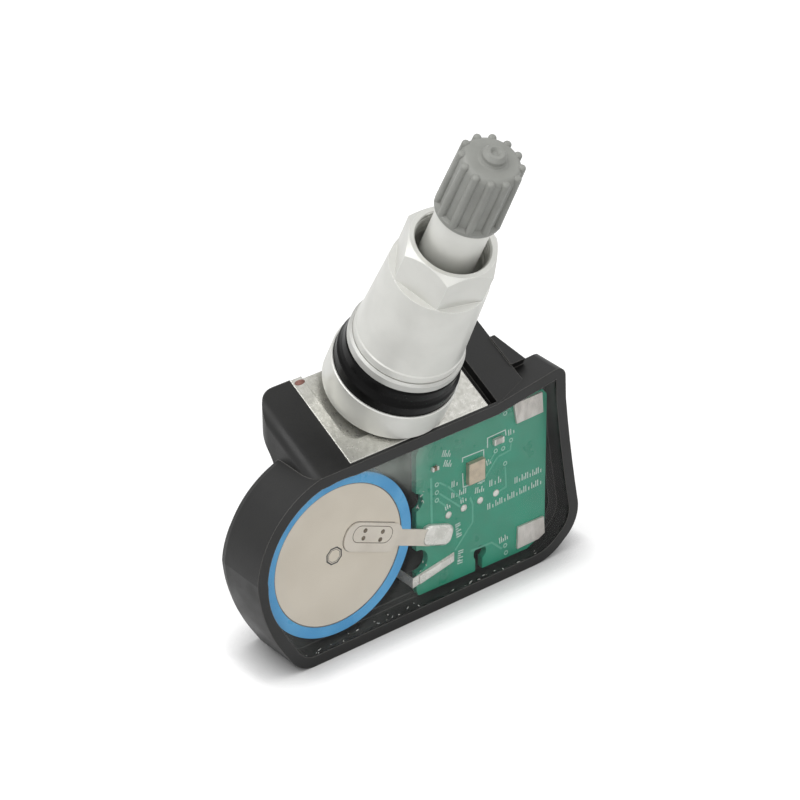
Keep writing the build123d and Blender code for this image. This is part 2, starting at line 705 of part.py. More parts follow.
def core_pin():
    """The core's sprung pin with its spring collar."""
    return turned(
        (0, PIN_LOW),
        (PIN_R, PIN_LOW),
        (PIN_R, PIN_COLLAR_LOW),
        (PIN_COLLAR_R, PIN_COLLAR_LOW),
        (PIN_COLLAR_R, CORE_ROOF),
        (PIN_R, CORE_ROOF),
        (PIN_R, PIN_HIGH - PIN_POINT),
        (PIN_POINT_R, PIN_HIGH),
        (0, PIN_HIGH),
    )


def core_poppet():
    """The rubber-faced cup that closes the core's lower end."""
    return turned(
        (PIN_R, PIN_LOW),
        (POPPET_R - POPPET_CHAMFER, PIN_LOW),
        (POPPET_R, PIN_LOW + POPPET_CHAMFER),
        (POPPET_R, CORE_LOW),
        (PIN_R, CORE_LOW),
    )


def core_spring():
    """The return spring between the barrel's floor and the pin's collar."""
    height = PIN_COLLAR_LOW - CORE_FLOOR - 2 * (SPRING_WIRE_R + SPRING_GAP)
    path = Helix(pitch=SPRING_PITCH, height=height, radius=SPRING_R)
    start = Plane(origin=path @ 0, z_dir=path % 0)
    coil = sweep(start * RegularPolygon(SPRING_WIRE_R, 6), path=path, is_frenet=True)
    return STEM.location * (Pos(0, 0, CORE_FLOOR + SPRING_WIRE_R + SPRING_GAP) * coil)


def coin_cell():
    """The coin cell, sealed."""
    can = slab(disc(CAN_R, CELL_X, 0), CELL_DEPTH, CELL_STEP_DEPTH)
    return can + slab(disc(CELL_R - CELL_STEP, CELL_X, 0), CELL_STEP_DEPTH + FUSE, 0)


def cell_sleeve():
    """The film sleeve shrunk round the cell's edge."""
    inside = disc(CAN_R + FILM_LAP, CELL_X, 0)
    lap = inside - disc(SLEEVE_LIP_R, CELL_X, 0)
    step = inside - disc(CELL_R - CELL_STEP, CELL_X, 0)
    wall = slab(disc(SLEEVE_R, CELL_X, 0) - disc(CAN_R, CELL_X, 0), CELL_DEPTH + FILM, -FILM)
    front = slab(lap, 0, -FILM)
    back = slab(lap, CELL_DEPTH + FILM, CELL_DEPTH)
    return wall + front + back + slab(step, CELL_STEP_DEPTH, -FILM / 2)


def positive_tab():
    """The welded strip from the cell's face to the board."""
    turn = Rot(0, 0, TAB_TURN)
    wide = Pos(*TAB_WIDE_SPOT) * (turn * RectangleRounded(*TAB_WIDE_SIZE, TAB_WIDE_ROUND))
    narrow = Pos(*TAB_NARROW_SPOT) * (turn * Rectangle(*TAB_NARROW_SIZE))
    return slab(wide + narrow, 0, -TAB_THICK) - cell_sleeve()


def negative_tab():
    """The strip from the cell's back, bent forward beside the board and folded onto it."""
    behind = CELL_DEPTH + FILM
    tail = slab(polygon(*STRIP_TAIL), behind + STRIP_THICK, behind)
    weld = slab(disc(*STRIP_WELD), behind, CELL_DEPTH)
    leg = box((STRIP_LEG_X - STRIP_THICK, STRIP_LEG_X), (STRIP_FRONT, behind + STRIP_THICK), STRIP_LEG_Z)
    return tail + weld + leg + slab(polygon(*STRIP_FOOT), BOARD_FRONT, STRIP_FRONT)


def circuit_board():
    """The board with its edge notches and its keyhole slot."""
    outline = polygon(*BOARD_OUTLINE)
    for hole in (NOTCH_HIGH, NOTCH_LOW, KEYHOLE):
        outline -= disc(*hole)
    outline -= Pos(*KEYHOLE_SLOT) * Rectangle(*KEYHOLE_SLOT_SIZE)
    return slab(outline, BOARD_BACK, BOARD_FRONT)


def positive_solder():
    """The solder hill over the positive tab's end."""
    foot = Pos(*HILL_SPOT) * (Rot(0, 0, HILL_TURN) * RectangleRounded(*HILL_SIZE, HILL_ROUND))
    hill = slab(foot, BOARD_FRONT, HILL_FRONT)
    crown = hill.faces().sort_by(Axis.Y)[0].edges()
    return chamfer(crown, HILL_CHAMFER) - positive_tab()


def negative_solder():
    """The solder that floods the negative strip's foot."""
    return slab(polygon(*FLOOD), STRIP_FRONT, FLOOD_FRONT)


def antenna_solder():
    """The two tinned lands where the antenna's legs come through."""
    upper = slab(polygon(*LAND_HIGH), BOARD_FRONT, LAND_FRONT)
    return upper + slab(polygon(*LAND_LOW), BOARD_FRONT, LAND_FRONT)


def test_pads():
    """The four round test pads."""
    pads = [slab(disc(PAD_R, x, z), BOARD_FRONT, BOARD_FRONT - PAD_RISE) for x, z in PADS]
    return pads[0].fuse(*pads[1:])


def crystal():
    """The metal-lidded crystal."""
    return slab(polygon(*CRYSTAL), BOARD_FRONT, BOARD_FRONT - CRYSTAL_RISE)


def chip_inductor():
    """The small inductor near the upper land."""
    return slab(Pos(*INDUCTOR_SPOT) * Rectangle(*INDUCTOR_SIZE), BOARD_FRONT, BOARD_FRONT - INDUCTOR_RISE)


def chip_capacitor():
    """The small capacitor near the board's upper left corner."""
    return slab(Pos(*CAPACITOR_SPOT) * Rectangle(*CAPACITOR_SIZE), BOARD_FRONT, BOARD_FRONT - CAPACITOR_RISE)


def sensor_chip():
    """The pressure sensor on the board's back."""
    return slab(Pos(CHIP_X, CHIP_Z) * Rectangle(2 * CHIP_HALF, 2 * CHIP_HALF), CHIP_DEPTH, BOARD_BACK)


def port_seal():
    """The seal that joins the sensor's port to the hole in the housing's back."""
    return slab(disc(CHIP_SEAL_R, CHIP_X, CHIP_Z) - disc(CHIP_PORT_R, CHIP_X, CHIP_Z), WELL_Y, CHIP_DEPTH)


def wake_coil():
    """The wake-up coil on the board's back."""
    return box(COIL_X, (BOARD_BACK, COIL_DEPTH), COIL_Z)


def antenna_loop():
    """The folded antenna strip behind the board."""
    low, high = ANTENNA_Z
    span = box(ANTENNA_X, (ANTENNA_DEPTH - ANTENNA_THICK, ANTENNA_DEPTH), ANTENNA_Z)
    for leg in ((low, low + ANTENNA_THICK), (high - ANTENNA_THICK, high)):
        span += box(ANTENNA_X, (BOARD_BACK, ANTENNA_DEPTH - ANTENNA_THICK), leg)
    return span


def potting(pieces):
    """The clear resin that fills the tray and the well round every piece in them."""
    resin = slab(tray_face(), TRAY_Y, POTTING_Y) + slab(well_face(), WELL_Y, TRAY_Y - FUSE)
    for piece in pieces:
        resin -= piece
    return resin - slab(disc(CHIP_SEAL_R, CHIP_X, CHIP_Z), WELL_Y + PAST, CHIP_DEPTH)


def build():
    """Makes every piece, named by its node."""
    inside = {
        "circuit_board": circuit_board(),
        "coin_cell": coin_cell(),
        "cell_sleeve": cell_sleeve(),
        "positive_tab": positive_tab(),
        "negative_tab": negative_tab(),
        "positive_solder": positive_solder(),
        "negative_solder": negative_solder(),
        "antenna_solder": antenna_solder(),
        "test_pads": test_pads(),
        "crystal": crystal(),
        "chip_inductor": chip_inductor(),
        "chip_capacitor": chip_capacitor(),
        "sensor_chip": sensor_chip(),
        "port_seal": port_seal(),
        "wake_coil": wake_coil(),
        "antenna_loop": antenna_loop(),
    }
    outside = {
        "housing": housing(),
        "potting": potting(inside.values()),
        "foot_plate": foot_plate(),
        "valve_stem": valve_stem(),
        "stem_grommet": stem_grommet(),
        "retaining_screw": retaining_screw(),
        "nut_washer": nut_washer(),
        "collar_nut": collar_nut(),
        "valve_cap": valve_cap(),
        "cap_seal": cap_seal(),
        "core_body": core_body(),
        "core_seal": core_seal(),
        "core_pin": core_pin(),
        "core_poppet": core_poppet(),
        "core_spring": core_spring(),
    }
    return {**inside, **outside}


os.makedirs("parts", exist_ok=True)
pieces = build()
bounds = [piece.bounding_box() for piece in pieces.values()]
low = [min(getattr(b.min, axis) for b in bounds) for axis in "XYZ"]
high = [max(getattr(b.max, axis) for b in bounds) for axis in "XYZ"]
shift = Pos(-(low[0] + high[0]) / 2, -(low[1] + high[1]) / 2, -low[2])
for name, piece in pieces.items():
    export_step(shift * piece, f"parts/{name}.step")
print("moved by", shift.position)
print("box", low, high)
for name, piece in pieces.items():
    print(name, len(piece.solids()), round(piece.volume, 2))
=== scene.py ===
"""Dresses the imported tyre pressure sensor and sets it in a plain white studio.

Every length is in metres in the part's own frame; MM turns millimetres into metres. Places on the potted face
are given as (x, z) in millimetres from the middle of the coin cell.
"""

from __future__ import annotations

import json
import logging
import math
import random
from collections.abc import Sequence
from dataclasses import dataclass, replace
from enum import Enum

import bmesh
import bpy
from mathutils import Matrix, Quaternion, Vector

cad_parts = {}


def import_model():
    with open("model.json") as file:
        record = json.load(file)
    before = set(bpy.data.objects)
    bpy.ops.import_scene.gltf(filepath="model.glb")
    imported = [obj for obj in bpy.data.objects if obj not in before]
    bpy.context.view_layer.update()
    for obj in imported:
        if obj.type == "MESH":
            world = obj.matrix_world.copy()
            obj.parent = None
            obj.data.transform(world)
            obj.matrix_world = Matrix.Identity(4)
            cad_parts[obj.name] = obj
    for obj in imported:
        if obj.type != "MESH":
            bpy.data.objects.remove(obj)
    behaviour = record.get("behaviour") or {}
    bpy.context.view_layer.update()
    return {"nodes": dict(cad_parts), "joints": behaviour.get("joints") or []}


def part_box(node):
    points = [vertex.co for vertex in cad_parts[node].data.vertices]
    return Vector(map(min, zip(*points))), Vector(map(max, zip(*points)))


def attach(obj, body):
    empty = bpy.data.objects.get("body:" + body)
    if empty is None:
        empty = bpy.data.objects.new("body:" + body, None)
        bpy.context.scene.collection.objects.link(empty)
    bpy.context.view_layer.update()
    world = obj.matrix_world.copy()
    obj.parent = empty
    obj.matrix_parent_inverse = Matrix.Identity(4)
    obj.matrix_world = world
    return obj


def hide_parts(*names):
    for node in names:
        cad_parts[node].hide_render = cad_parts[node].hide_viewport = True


MM = 0.001
log = logging.getLogger("sensor")

Colour = tuple[float, float, float]
Triple = tuple[float, float, float]
Spot = tuple[float, float]
Span = tuple[float, float]
Socket = bpy.types.NodeSocket

EVEN: Triple = (1.0, 1.0, 1.0)
NODE_SAMPLES = 4
PATCH_RANGE: Span = (0.35, 0.65)
PATCH_DETAIL = 3.0
GRAIN_DEPTH = 0.5
SPECK_RADII: Span = (0.12, 0.32)
EDGE_COSINES: Span = (0.98, 0.8)
MITRE_LEAST = 0.5


def srgb(red: int, green: int, blue: int) -> Colour:
    """Turns a display colour into the linear colour that shaders take.

    Args:
        red: red as shown, 0 to 255.
        green: green as shown, 0 to 255.
        blue: blue as shown, 0 to 255.

    Returns:
        The linear colour.
    """
    shown = [value / 255 for value in (red, green, blue)]
    linear = [v / 12.92 if v <= 0.04045 else ((v + 0.055) / 1.055) ** 2.4 for v in shown]
    return (linear[0], linear[1], linear[2])


class Body(Enum):
    """The moving bodies that pieces ride on."""

    SENSOR = "sensor"
    NUT = "nut"


class NodeSheet:
    """A material's nodes, with short calls to add and join them."""

    def __init__(self, name: str) -> None:
        """Starts an empty material.

        Args:
            name: the material's name.
        """
        self.material = bpy.data.materials.new(name)
        self.material.use_nodes = True
        self.tree = self.material.node_tree
        self.tree.nodes.clear()
        self.place = self.add("ShaderNodeTexCoord").outputs["Object"]

    def add(self, kind: str, **settings: object) -> bpy.types.Node:
        """Adds a node and sets its properties.

        Args:
            kind: the node's type name.
            settings: its properties by name.

        Returns:
            The node.
        """
        node = self.tree.nodes.new(kind)
        for key, value in settings.items():
            setattr(node, key, value)
        return node

    def feed(self, target: Socket, value: Socket | float | Colour) -> None:
        """Joins a socket to another node's output, or sets it to a constant.

        Args:
            target: the input to fill.
            value: an output, a number or a colour.
        """
        if isinstance(value, bpy.types.NodeSocket):
            self.tree.links.new(value, target)
        elif isinstance(value, tuple) and target.type == "RGBA":
            target.default_value = (*value, 1.0)
        else:
            target.default_value = value

    def cloud(self, size_mm: float, detail: float = 2.0, stretch: Triple = EVEN) -> Socket:
        """A cloudy noise pattern.

        Args:
            size_mm: how wide one patch is.
            detail: how many finer layers it has.
            stretch: the scale along X, Y and Z.

        Returns:
            The pattern's value, 0 to 1.
        """
        mapping = self.add("ShaderNodeMapping")
        self.feed(mapping.inputs["Vector"], self.place)
        mapping.inputs["Scale"].default_value = stretch
        noise = self.add("ShaderNodeTexNoise")
        self.feed(noise.inputs["Vector"], mapping.outputs["Vector"])
        noise.inputs["Scale"].default_value = 1.0 / (size_mm * MM)
        noise.inputs["Detail"].default_value = detail
        return noise.outputs["Fac"]

    def spread(self, value: Socket, start: Span, end: Span = (0.0, 1.0)) -> Socket:
        """Maps a value's range onto another, clamped.

        Args:
            value: the value to map.
            start: the range that it comes from.
            end: the range that it goes to.

        Returns:
            The mapped value.
        """
        node = self.add("ShaderNodeMapRange")
        self.feed(node.inputs["Value"], value)
        for name, number in zip(("From Min", "From Max", "To Min", "To Max"), (*start, *end)):
            node.inputs[name].default_value = number
        return node.outputs["Result"]

    def maths(self, operation: str, first: Socket | float, second: Socket | float) -> Socket:
        """Works out one sum with a Math node.

        Args:
            operation: the node's operation.
            first: its first number.
            second: its second number.

        Returns:
            The result.
        """
        node = self.add("ShaderNodeMath", operation=operation)
        self.feed(node.inputs[0], first)
        self.feed(node.inputs[1], second)
        return node.outputs[0]

    def blend(self, share: Socket, first: Socket | Colour, second: Socket | Colour) -> Socket:
        """Mixes two colours, through the node's sockets for colours: 6, 7 and 2.

        Args:
            share: the share of the second colour.
            first: the first colour.
            second: the second colour.

        Returns:
            The mixed colour.
        """
        node = self.add("ShaderNodeMix", data_type="RGBA")
        self.feed(node.inputs[0], share)
        self.feed(node.inputs[6], first)
        self.feed(node.inputs[7], second)
        return node.outputs[2]

    def specks(self, size_mm: float, share: float) -> Socket:
        """Scattered round specks.

        Args:
            size_mm: the spacing of the cells that may hold a speck.
            share: the share of cells that do.

        Returns:
            A mask that is 1 on a speck.
        """
        cells = self.add("ShaderNodeTexVoronoi")
        self.feed(cells.inputs["Vector"], self.place)
        cells.inputs["Scale"].default_value = 1.0 / (size_mm * MM)
        chosen = self.maths("LESS_THAN", cells.outputs["Color"], share)
        inside = self.spread(cells.outputs["Distance"], SPECK_RADII, (1.0, 0.0))
        return self.maths("MULTIPLY", chosen, inside)

    def rounded(self, radius_mm: float) -> Socket:
        """A normal that rounds the solid's sharp edges.

        Args:
            radius_mm: the radius of the rounding.

        Returns:
            The normal.
        """
        node = self.add("ShaderNodeBevel", samples=NODE_SAMPLES)
        node.inputs["Radius"].default_value = radius_mm * MM
        return node.outputs["Normal"]

    def edges(self, normal: Socket) -> Socket:
        """A mask of the rounded edges, where a finish paints its edge light, from the rounded and the plain
        normal.

        Args:
            normal: the rounded normal.

        Returns:
            A mask that is 1 on an edge.
        """
        plain = self.add("ShaderNodeNewGeometry").outputs["Normal"]
        dot = self.add("ShaderNodeVectorMath", operation="DOT_PRODUCT")
        self.feed(dot.inputs[0], normal)
        self.feed(dot.inputs[1], plain)
        return self.spread(dot.outputs["Value"], EDGE_COSINES)

    def bump(self, height: Socket, strength: float, depth_mm: float, normal: Socket | None = None) -> Socket:
        """A bump normal, on top of another normal where there is one.

        Args:
            height: the pattern of heights.
            strength: how strong the bump is.
            depth_mm: how deep the pattern is.
            normal: the normal below it.

        Returns:
            The normal.
        """
        node = self.add("ShaderNodeBump")
        self.feed(node.inputs["Height"], height)
        node.inputs["Strength"].default_value = strength
        node.inputs["Distance"].default_value = depth_mm * MM
        if normal is not None:
            self.feed(node.inputs["Normal"], normal)
        return node.outputs["Normal"]

    def close(self, shader: Socket) -> bpy.types.Material:
        """Joins the last shader to the output.

        Args:
            shader: the last shader.

        Returns:
            The finished material.
        """
        output = self.add("ShaderNodeOutputMaterial")
        self.feed(output.inputs["Surface"], shader)
        return self.material


@dataclass(frozen=True)
class Finish:
    """A solid finish: two tones in patches, fine grain, rounded edges and scattered specks. Some finishes
    paint their edges paler as a painted highlight, others darker as painted shade.

    Attributes:
        name: the material's name.
        colour: the main tone.
        tone: the tone of the patches.
        patch_mm: the width of a patch.
        stretch: the scale of the patches along X, Y and Z.
        metallic: 1 for metal.
        roughness: the middle roughness.
        wander: how far the roughness goes to either side.
        specular: the shader's specular level.
        grain_mm: the width of a grain.
        grain: the strength of the grain's bump.
        edge_mm: the radius of the rounded edges.
        edge: the painted light on the rounded edges, if any: a paler tone is a painted highlight, a darker
            one painted shade.
        speck: the tone of the specks, if there are any.
        speck_mm: the spacing of the specks' cells.
        speck_share: the share of cells with a speck.
    """

    name: str
    colour: Colour
    tone: Colour
    patch_mm: float = 3.0
    stretch: Triple = EVEN
    metallic: float = 0.0
    roughness: float = 0.5
    wander: float = 0.08
    specular: float = 0.5
    grain_mm: float = 0.15
    grain: float = 0.1
    edge_mm: float = 0.12
    edge: Colour | None = None
    speck: Colour | None = None
    speck_mm: float = 0.5
    speck_share: float = 0.03

    def build(self) -> bpy.types.Material:
        """Makes the material.

        Returns:
            The material, ready to be given to a piece.
        """
        sheet = NodeSheet(self.name)
        patches = sheet.spread(sheet.cloud(self.patch_mm, PATCH_DETAIL, self.stretch), PATCH_RANGE)
        colour = sheet.blend(patches, self.colour, self.tone)
        normal = sheet.rounded(self.edge_mm)
        # Painted light: the edge tone is a painted highlight where it is paler than the finish and painted
        # shade where it is darker.
        if self.edge is not None:
            colour = sheet.blend(sheet.edges(normal), colour, self.edge)
        if self.speck is not None:
            colour = sheet.blend(sheet.specks(self.speck_mm, self.speck_share), colour, self.speck)
        grain = sheet.cloud(self.grain_mm, stretch=self.stretch)
        shader = sheet.add("ShaderNodeBsdfPrincipled")
        sheet.feed(shader.inputs["Base Color"], colour)
        shader.inputs["Metallic"].default_value = self.metallic
        shader.inputs["Specular IOR Level"].default_value = self.specular
        limits = (self.roughness - self.wander, self.roughness + self.wander)
        sheet.feed(shader.inputs["Roughness"], sheet.spread(patches, (0.0, 1.0), limits))
        rough = sheet.bump(grain, self.grain, self.grain_mm * GRAIN_DEPTH, normal)
        sheet.feed(shader.inputs["Normal"], rough)
        return sheet.close(shader.outputs["BSDF"])


@dataclass(frozen=True)
class ClearResin:
    """The potting resin: see-through and glossy, milky above the board and clear over the cell.

    Attributes:
        name: the material's name.
        haze: the colour of the milky patches.
        haze_most: the share of haze where it is thickest.
        haze_least: the share of that in the thinner patches.
        haze_mm: the width of a patch.
        haze_detail: how many finer layers the patches have.
        gloss: the roughness of the surface.
        ripple_mm: the width of the surface's ripples.
        ripple: the strength of their bump.
        ripple_depth: their depth.
        cell: the middle of the cell in X and Z, in the part's frame.
        cell_clear: how far from that middle the haze starts and is full.
        board_top: the heights between which the haze grows.
        board_left: the stretch in X over which the haze fades away to the right.
        board_least: the share of the haze that is left below and to the right.
        ior: how much the surface mirrors.
    """

    name: str = "clear_resin"
    haze: Colour = srgb(205, 214, 206)
    haze_most: float = 0.3
    haze_least: float = 0.5
    haze_mm: float = 4.0
    haze_detail: float = 4.0
    gloss: float = 0.17
    ripple_mm: float = 5.0
    ripple: float = 0.06
    ripple_depth: float = 0.4
    cell: Spot = (-13.93, 15.4)
    cell_clear: Span = (12.4, 13.2)
    board_top: Span = (21.0, 26.0)
    board_left: Span = (-2.0, 2.0)
    board_least: float = 0.08
    ior: float = 1.25

    def haze_share(self, sheet: NodeSheet) -> Socket:
        """How milky the resin is at a point.

        Args:
            sheet: the material's nodes.

        Returns:
            The share of haze.
        """
        flat = sheet.add("ShaderNodeVectorMath", operation="MULTIPLY")
        sheet.feed(flat.inputs[0], sheet.place)
        flat.inputs[1].default_value = (1.0, 0.0, 1.0)
        away = sheet.add("ShaderNodeVectorMath", operation="DISTANCE")
        sheet.feed(away.inputs[0], flat.outputs["Vector"])
        away.inputs[1].default_value = (self.cell[0] * MM, 0.0, self.cell[1] * MM)
        near, far = self.cell_clear
        outside = sheet.spread(away.outputs["Value"], (near * MM, far * MM))
        split = sheet.add("ShaderNodeSeparateXYZ")
        sheet.feed(split.inputs[0], sheet.place)
        low, high = self.board_top
        above = sheet.spread(split.outputs["Z"], (low * MM, high * MM), (self.board_least, 1.0))
        start, end = self.board_left
        beside = sheet.spread(split.outputs["X"], (start * MM, end * MM), (1.0, self.board_least))
        corner = sheet.maths("MULTIPLY", above, beside)
        limits = (self.haze_least * self.haze_most, self.haze_most)
        patches = sheet.spread(sheet.cloud(self.haze_mm, self.haze_detail), PATCH_RANGE, limits)
        return sheet.maths("MULTIPLY", patches, sheet.maths("MULTIPLY", outside, corner))

    def build(self) -> bpy.types.Material:
        """Makes the material.

        Returns:
            The material, mixed from a transparent, a hazy and a glossy shader.
        """
        sheet = NodeSheet(self.name)
        clear = sheet.add("ShaderNodeBsdfTransparent")
        milk = sheet.add("ShaderNodeBsdfDiffuse")
        sheet.feed(milk.inputs["Color"], self.haze)
        hazy = sheet.add("ShaderNodeMixShader")
        sheet.feed(hazy.inputs[0], self.haze_share(sheet))
        sheet.feed(hazy.inputs[1], clear.outputs[0])
        sheet.feed(hazy.inputs[2], milk.outputs[0])
        shine = sheet.add("ShaderNodeBsdfGlossy")
        shine.inputs["Roughness"].default_value = self.gloss
        waves = sheet.cloud(self.ripple_mm, 1.0)
        sheet.feed(shine.inputs["Normal"], sheet.bump(waves, self.ripple, self.ripple_depth))
        fresnel = sheet.add("ShaderNodeFresnel")
        fresnel.inputs["IOR"].default_value = self.ior
        outside = sheet.maths("SUBTRACT", 1.0, sheet.add("ShaderNodeNewGeometry").outputs["Backfacing"])
        both = sheet.add("ShaderNodeMixShader")
        sheet.feed(both.inputs[0], sheet.maths("MULTIPLY", fresnel.outputs[0], outside))
        sheet.feed(both.inputs[1], hazy.outputs[0])
        sheet.feed(both.inputs[2], shine.outputs[0])
        return sheet.close(both.outputs[0])


# Painted highlight: the pale edge tone paints a bright line along the housing's edges.
HOUSING_BLACK = Finish(
    "housing_black", srgb(20, 20, 20), srgb(27, 27, 26), 5.0, roughness=0.46, specular=0.34,
    grain_mm=0.22, grain=0.16, edge_mm=0.22, edge=srgb(104, 102, 99),
    speck=srgb(160, 160, 158), speck_mm=0.7, speck_share=0.014,
)
BOARD_GREEN = Finish(
    "board_green", srgb(30, 142, 112), srgb(38, 152, 122), 4.0, roughness=0.35,
    grain_mm=0.1, grain=0.05, edge_mm=0.08,
)
TRACE_GREEN = Finish(
    "trace_green", srgb(84, 172, 146), srgb(94, 180, 154), 1.5, roughness=0.35,
    grain_mm=0.1, grain=0.05, edge_mm=0.02,
)
PRINT_WHITE = Finish(
    "print_white", srgb(214, 228, 222), srgb(200, 218, 210), 0.6, roughness=0.6, grain_mm=0.06, edge_mm=0.02,
)
VIA_PALE = Finish("via_pale", srgb(168, 212, 196), srgb(150, 200, 182), 0.5, roughness=0.45, edge_mm=0.03)
FLECK_PALE = Finish("fleck_pale", srgb(214, 216, 210), srgb(172, 174, 168), 0.5, edge_mm=0.02)
TINNED = Finish(
    "tinned", srgb(228, 226, 220), srgb(206, 205, 198), 1.4, metallic=0.35, roughness=0.26,
    grain_mm=0.9, grain=0.15, edge_mm=0.2,
)
LAND_TIN = Finish(
    "land_tin", srgb(220, 215, 209), srgb(196, 191, 185), 1.1, (1.0, 1.0, 0.5), metallic=0.2, roughness=0.4,
    wander=0.12, grain_mm=0.3, grain=0.4, edge_mm=0.1,
    speck=srgb(128, 124, 118), speck_mm=0.9, speck_share=0.05,
)
# Painted shade: the darker edge tone darkens the cell's rounded edges.
CELL_STEEL = Finish(
    "cell_steel", srgb(224, 215, 199), srgb(219, 210, 194), 6.0, metallic=0.1,
    grain_mm=0.08, grain=0.06, edge_mm=0.1, edge=srgb(150, 143, 132),
)
# Painted shade: the darker edge tone paints thin dark lines along the tab's edges.
TAB_STEEL = Finish(
    "tab_steel", srgb(222, 214, 201), srgb(213, 205, 192), 3.0, metallic=0.15, roughness=0.45,
    grain_mm=0.08, grain=0.08, edge_mm=0.06, edge=srgb(150, 142, 130),
)
WELD_DARK = Finish("weld_dark", srgb(118, 106, 88), srgb(92, 82, 68), 0.3, metallic=0.4, roughness=0.4)
# Painted shade: the dark tone of the painted shadow beside the tab and the painted shade along the sleeve's
# lip.
PAINTED_SHADE_GREY = Finish("painted_shade_grey", srgb(128, 120, 110), srgb(108, 102, 94), 0.5, roughness=0.6, edge_mm=0.02)
MARK_GREY = Finish("mark_grey", srgb(46, 44, 42), srgb(66, 64, 60), 0.4, roughness=0.6, edge_mm=0.02)
MARK_RED = Finish("mark_red", srgb(150, 104, 94), srgb(112, 74, 66), 0.4, roughness=0.45, edge_mm=0.05)
SLEEVE_BLUE = Finish(
    "sleeve_blue", srgb(84, 176, 230), srgb(70, 160, 218), 5.0, roughness=0.35,
    grain_mm=0.4, grain=0.06, edge_mm=0.08,
)
# Painted shade: the darker edge tone darkens the lid's rounded edges.
CRYSTAL_LID = Finish(
    "crystal_lid", srgb(196, 182, 160), srgb(180, 166, 146), 1.0, metallic=0.4, roughness=0.4,
    edge_mm=0.15, edge=srgb(120, 110, 96),
)
PART_PALE = Finish("part_pale", srgb(196, 196, 188), srgb(176, 177, 170), 0.5, roughness=0.45, edge_mm=0.1)
PART_BROWN = Finish("part_brown", srgb(138, 110, 84), srgb(112, 88, 66), 0.5, roughness=0.45, edge_mm=0.1)
CHIP_BLACK = Finish("chip_black", srgb(34, 34, 35), srgb(42, 42, 42), 2.0, edge_mm=0.1)
COIL_BODY = Finish("coil_body", srgb(58, 52, 48), srgb(70, 60, 52), 0.8, roughness=0.45, edge_mm=0.15)
RUBBER_BLACK = Finish(
    "rubber_black", srgb(5, 5, 5), srgb(7, 7, 7), 2.0, roughness=0.3, wander=0.05, specular=0.09,
    grain_mm=0.5, grain=0.05, edge_mm=0.3, speck=srgb(90, 90, 88), speck_mm=0.6, speck_share=0.012,
)
# Painted highlight: the pale edge tone brightens the plate's edges and the rims of its pocket.
CAST_PLATE = Finish(
    "cast_plate", srgb(202, 201, 195), srgb(182, 181, 174), 0.7, metallic=0.85, roughness=0.34,
    grain_mm=0.2, grain=0.3, edge_mm=0.3, edge=srgb(232, 232, 226),
)
# Painted highlight: the pale edge tone paints bright lines along the edges of the stem, the nut, the washer
# and the threads.
SATIN_ALUMINIUM = Finish(
    "satin_aluminium", srgb(214, 214, 209), srgb(209, 209, 204), 4.0, metallic=0.55, roughness=0.4,
    wander=0.03, grain_mm=0.1, grain=0.08, edge_mm=0.1, edge=srgb(238, 238, 234),
)
WASHER_SATIN = replace(
    SATIN_ALUMINIUM, name="washer_satin", colour=srgb(190, 190, 186), tone=srgb(182, 182, 178),
)
SCREW_STEEL = Finish(
    "screw_steel", srgb(170, 170, 168), srgb(150, 150, 148), 1.0, metallic=1.0, roughness=0.32, grain_mm=0.1,
)
CORE_BRASS = Finish(
    "core_brass", srgb(196, 164, 96), srgb(176, 144, 82), 0.8, metallic=1.0, roughness=0.3, grain_mm=0.1,
)
CAP_GREY = Finish("cap_grey", srgb(150, 151, 146), srgb(144, 145, 140), 3.0, grain_mm=0.12, grain=0.12)

NODE_FINISHES: dict[str, Finish] = {
    "housing": HOUSING_BLACK,
    "circuit_board": BOARD_GREEN,
    "coin_cell": CELL_STEEL,
    "cell_sleeve": SLEEVE_BLUE,
    "positive_tab": TAB_STEEL,
    "negative_tab": TINNED,
    "positive_solder": TINNED,
    "negative_solder": TINNED,
    "antenna_solder": LAND_TIN,
    "test_pads": TINNED,
    "crystal": CRYSTAL_LID,
    "chip_inductor": PART_PALE,
    "chip_capacitor": PART_BROWN,
    "sensor_chip": CHIP_BLACK,
    "port_seal": RUBBER_BLACK,
    "wake_coil": COIL_BODY,
    "antenna_loop": TAB_STEEL,
    "foot_plate": CAST_PLATE,
    "valve_stem": SATIN_ALUMINIUM,
    "stem_grommet": RUBBER_BLACK,
    "retaining_screw": SCREW_STEEL,
    "nut_washer": WASHER_SATIN,
    "collar_nut": SATIN_ALUMINIUM,
    "valve_cap": CAP_GREY,
    "cap_seal": RUBBER_BLACK,
    "core_body": CORE_BRASS,
    "core_seal": RUBBER_BLACK,
    "core_pin": CORE_BRASS,
    "core_poppet": RUBBER_BLACK,
    "core_spring": SCREW_STEEL,
}


class Palette:
    """Makes each finish once and hands it out."""

    def __init__(self) -> None:
        """Starts with no material made."""
        self.made: dict[str, bpy.types.Material] = {}

    def give(self, finish: Finish | ClearResin) -> bpy.types.Material:
        """The material of a finish, made on first use.

        Args:
            finish: the finish.

        Returns:
            Its material.
        """
        if finish.name not in self.made:
            self.made[finish.name] = finish.build()
        return self.made[finish.name]


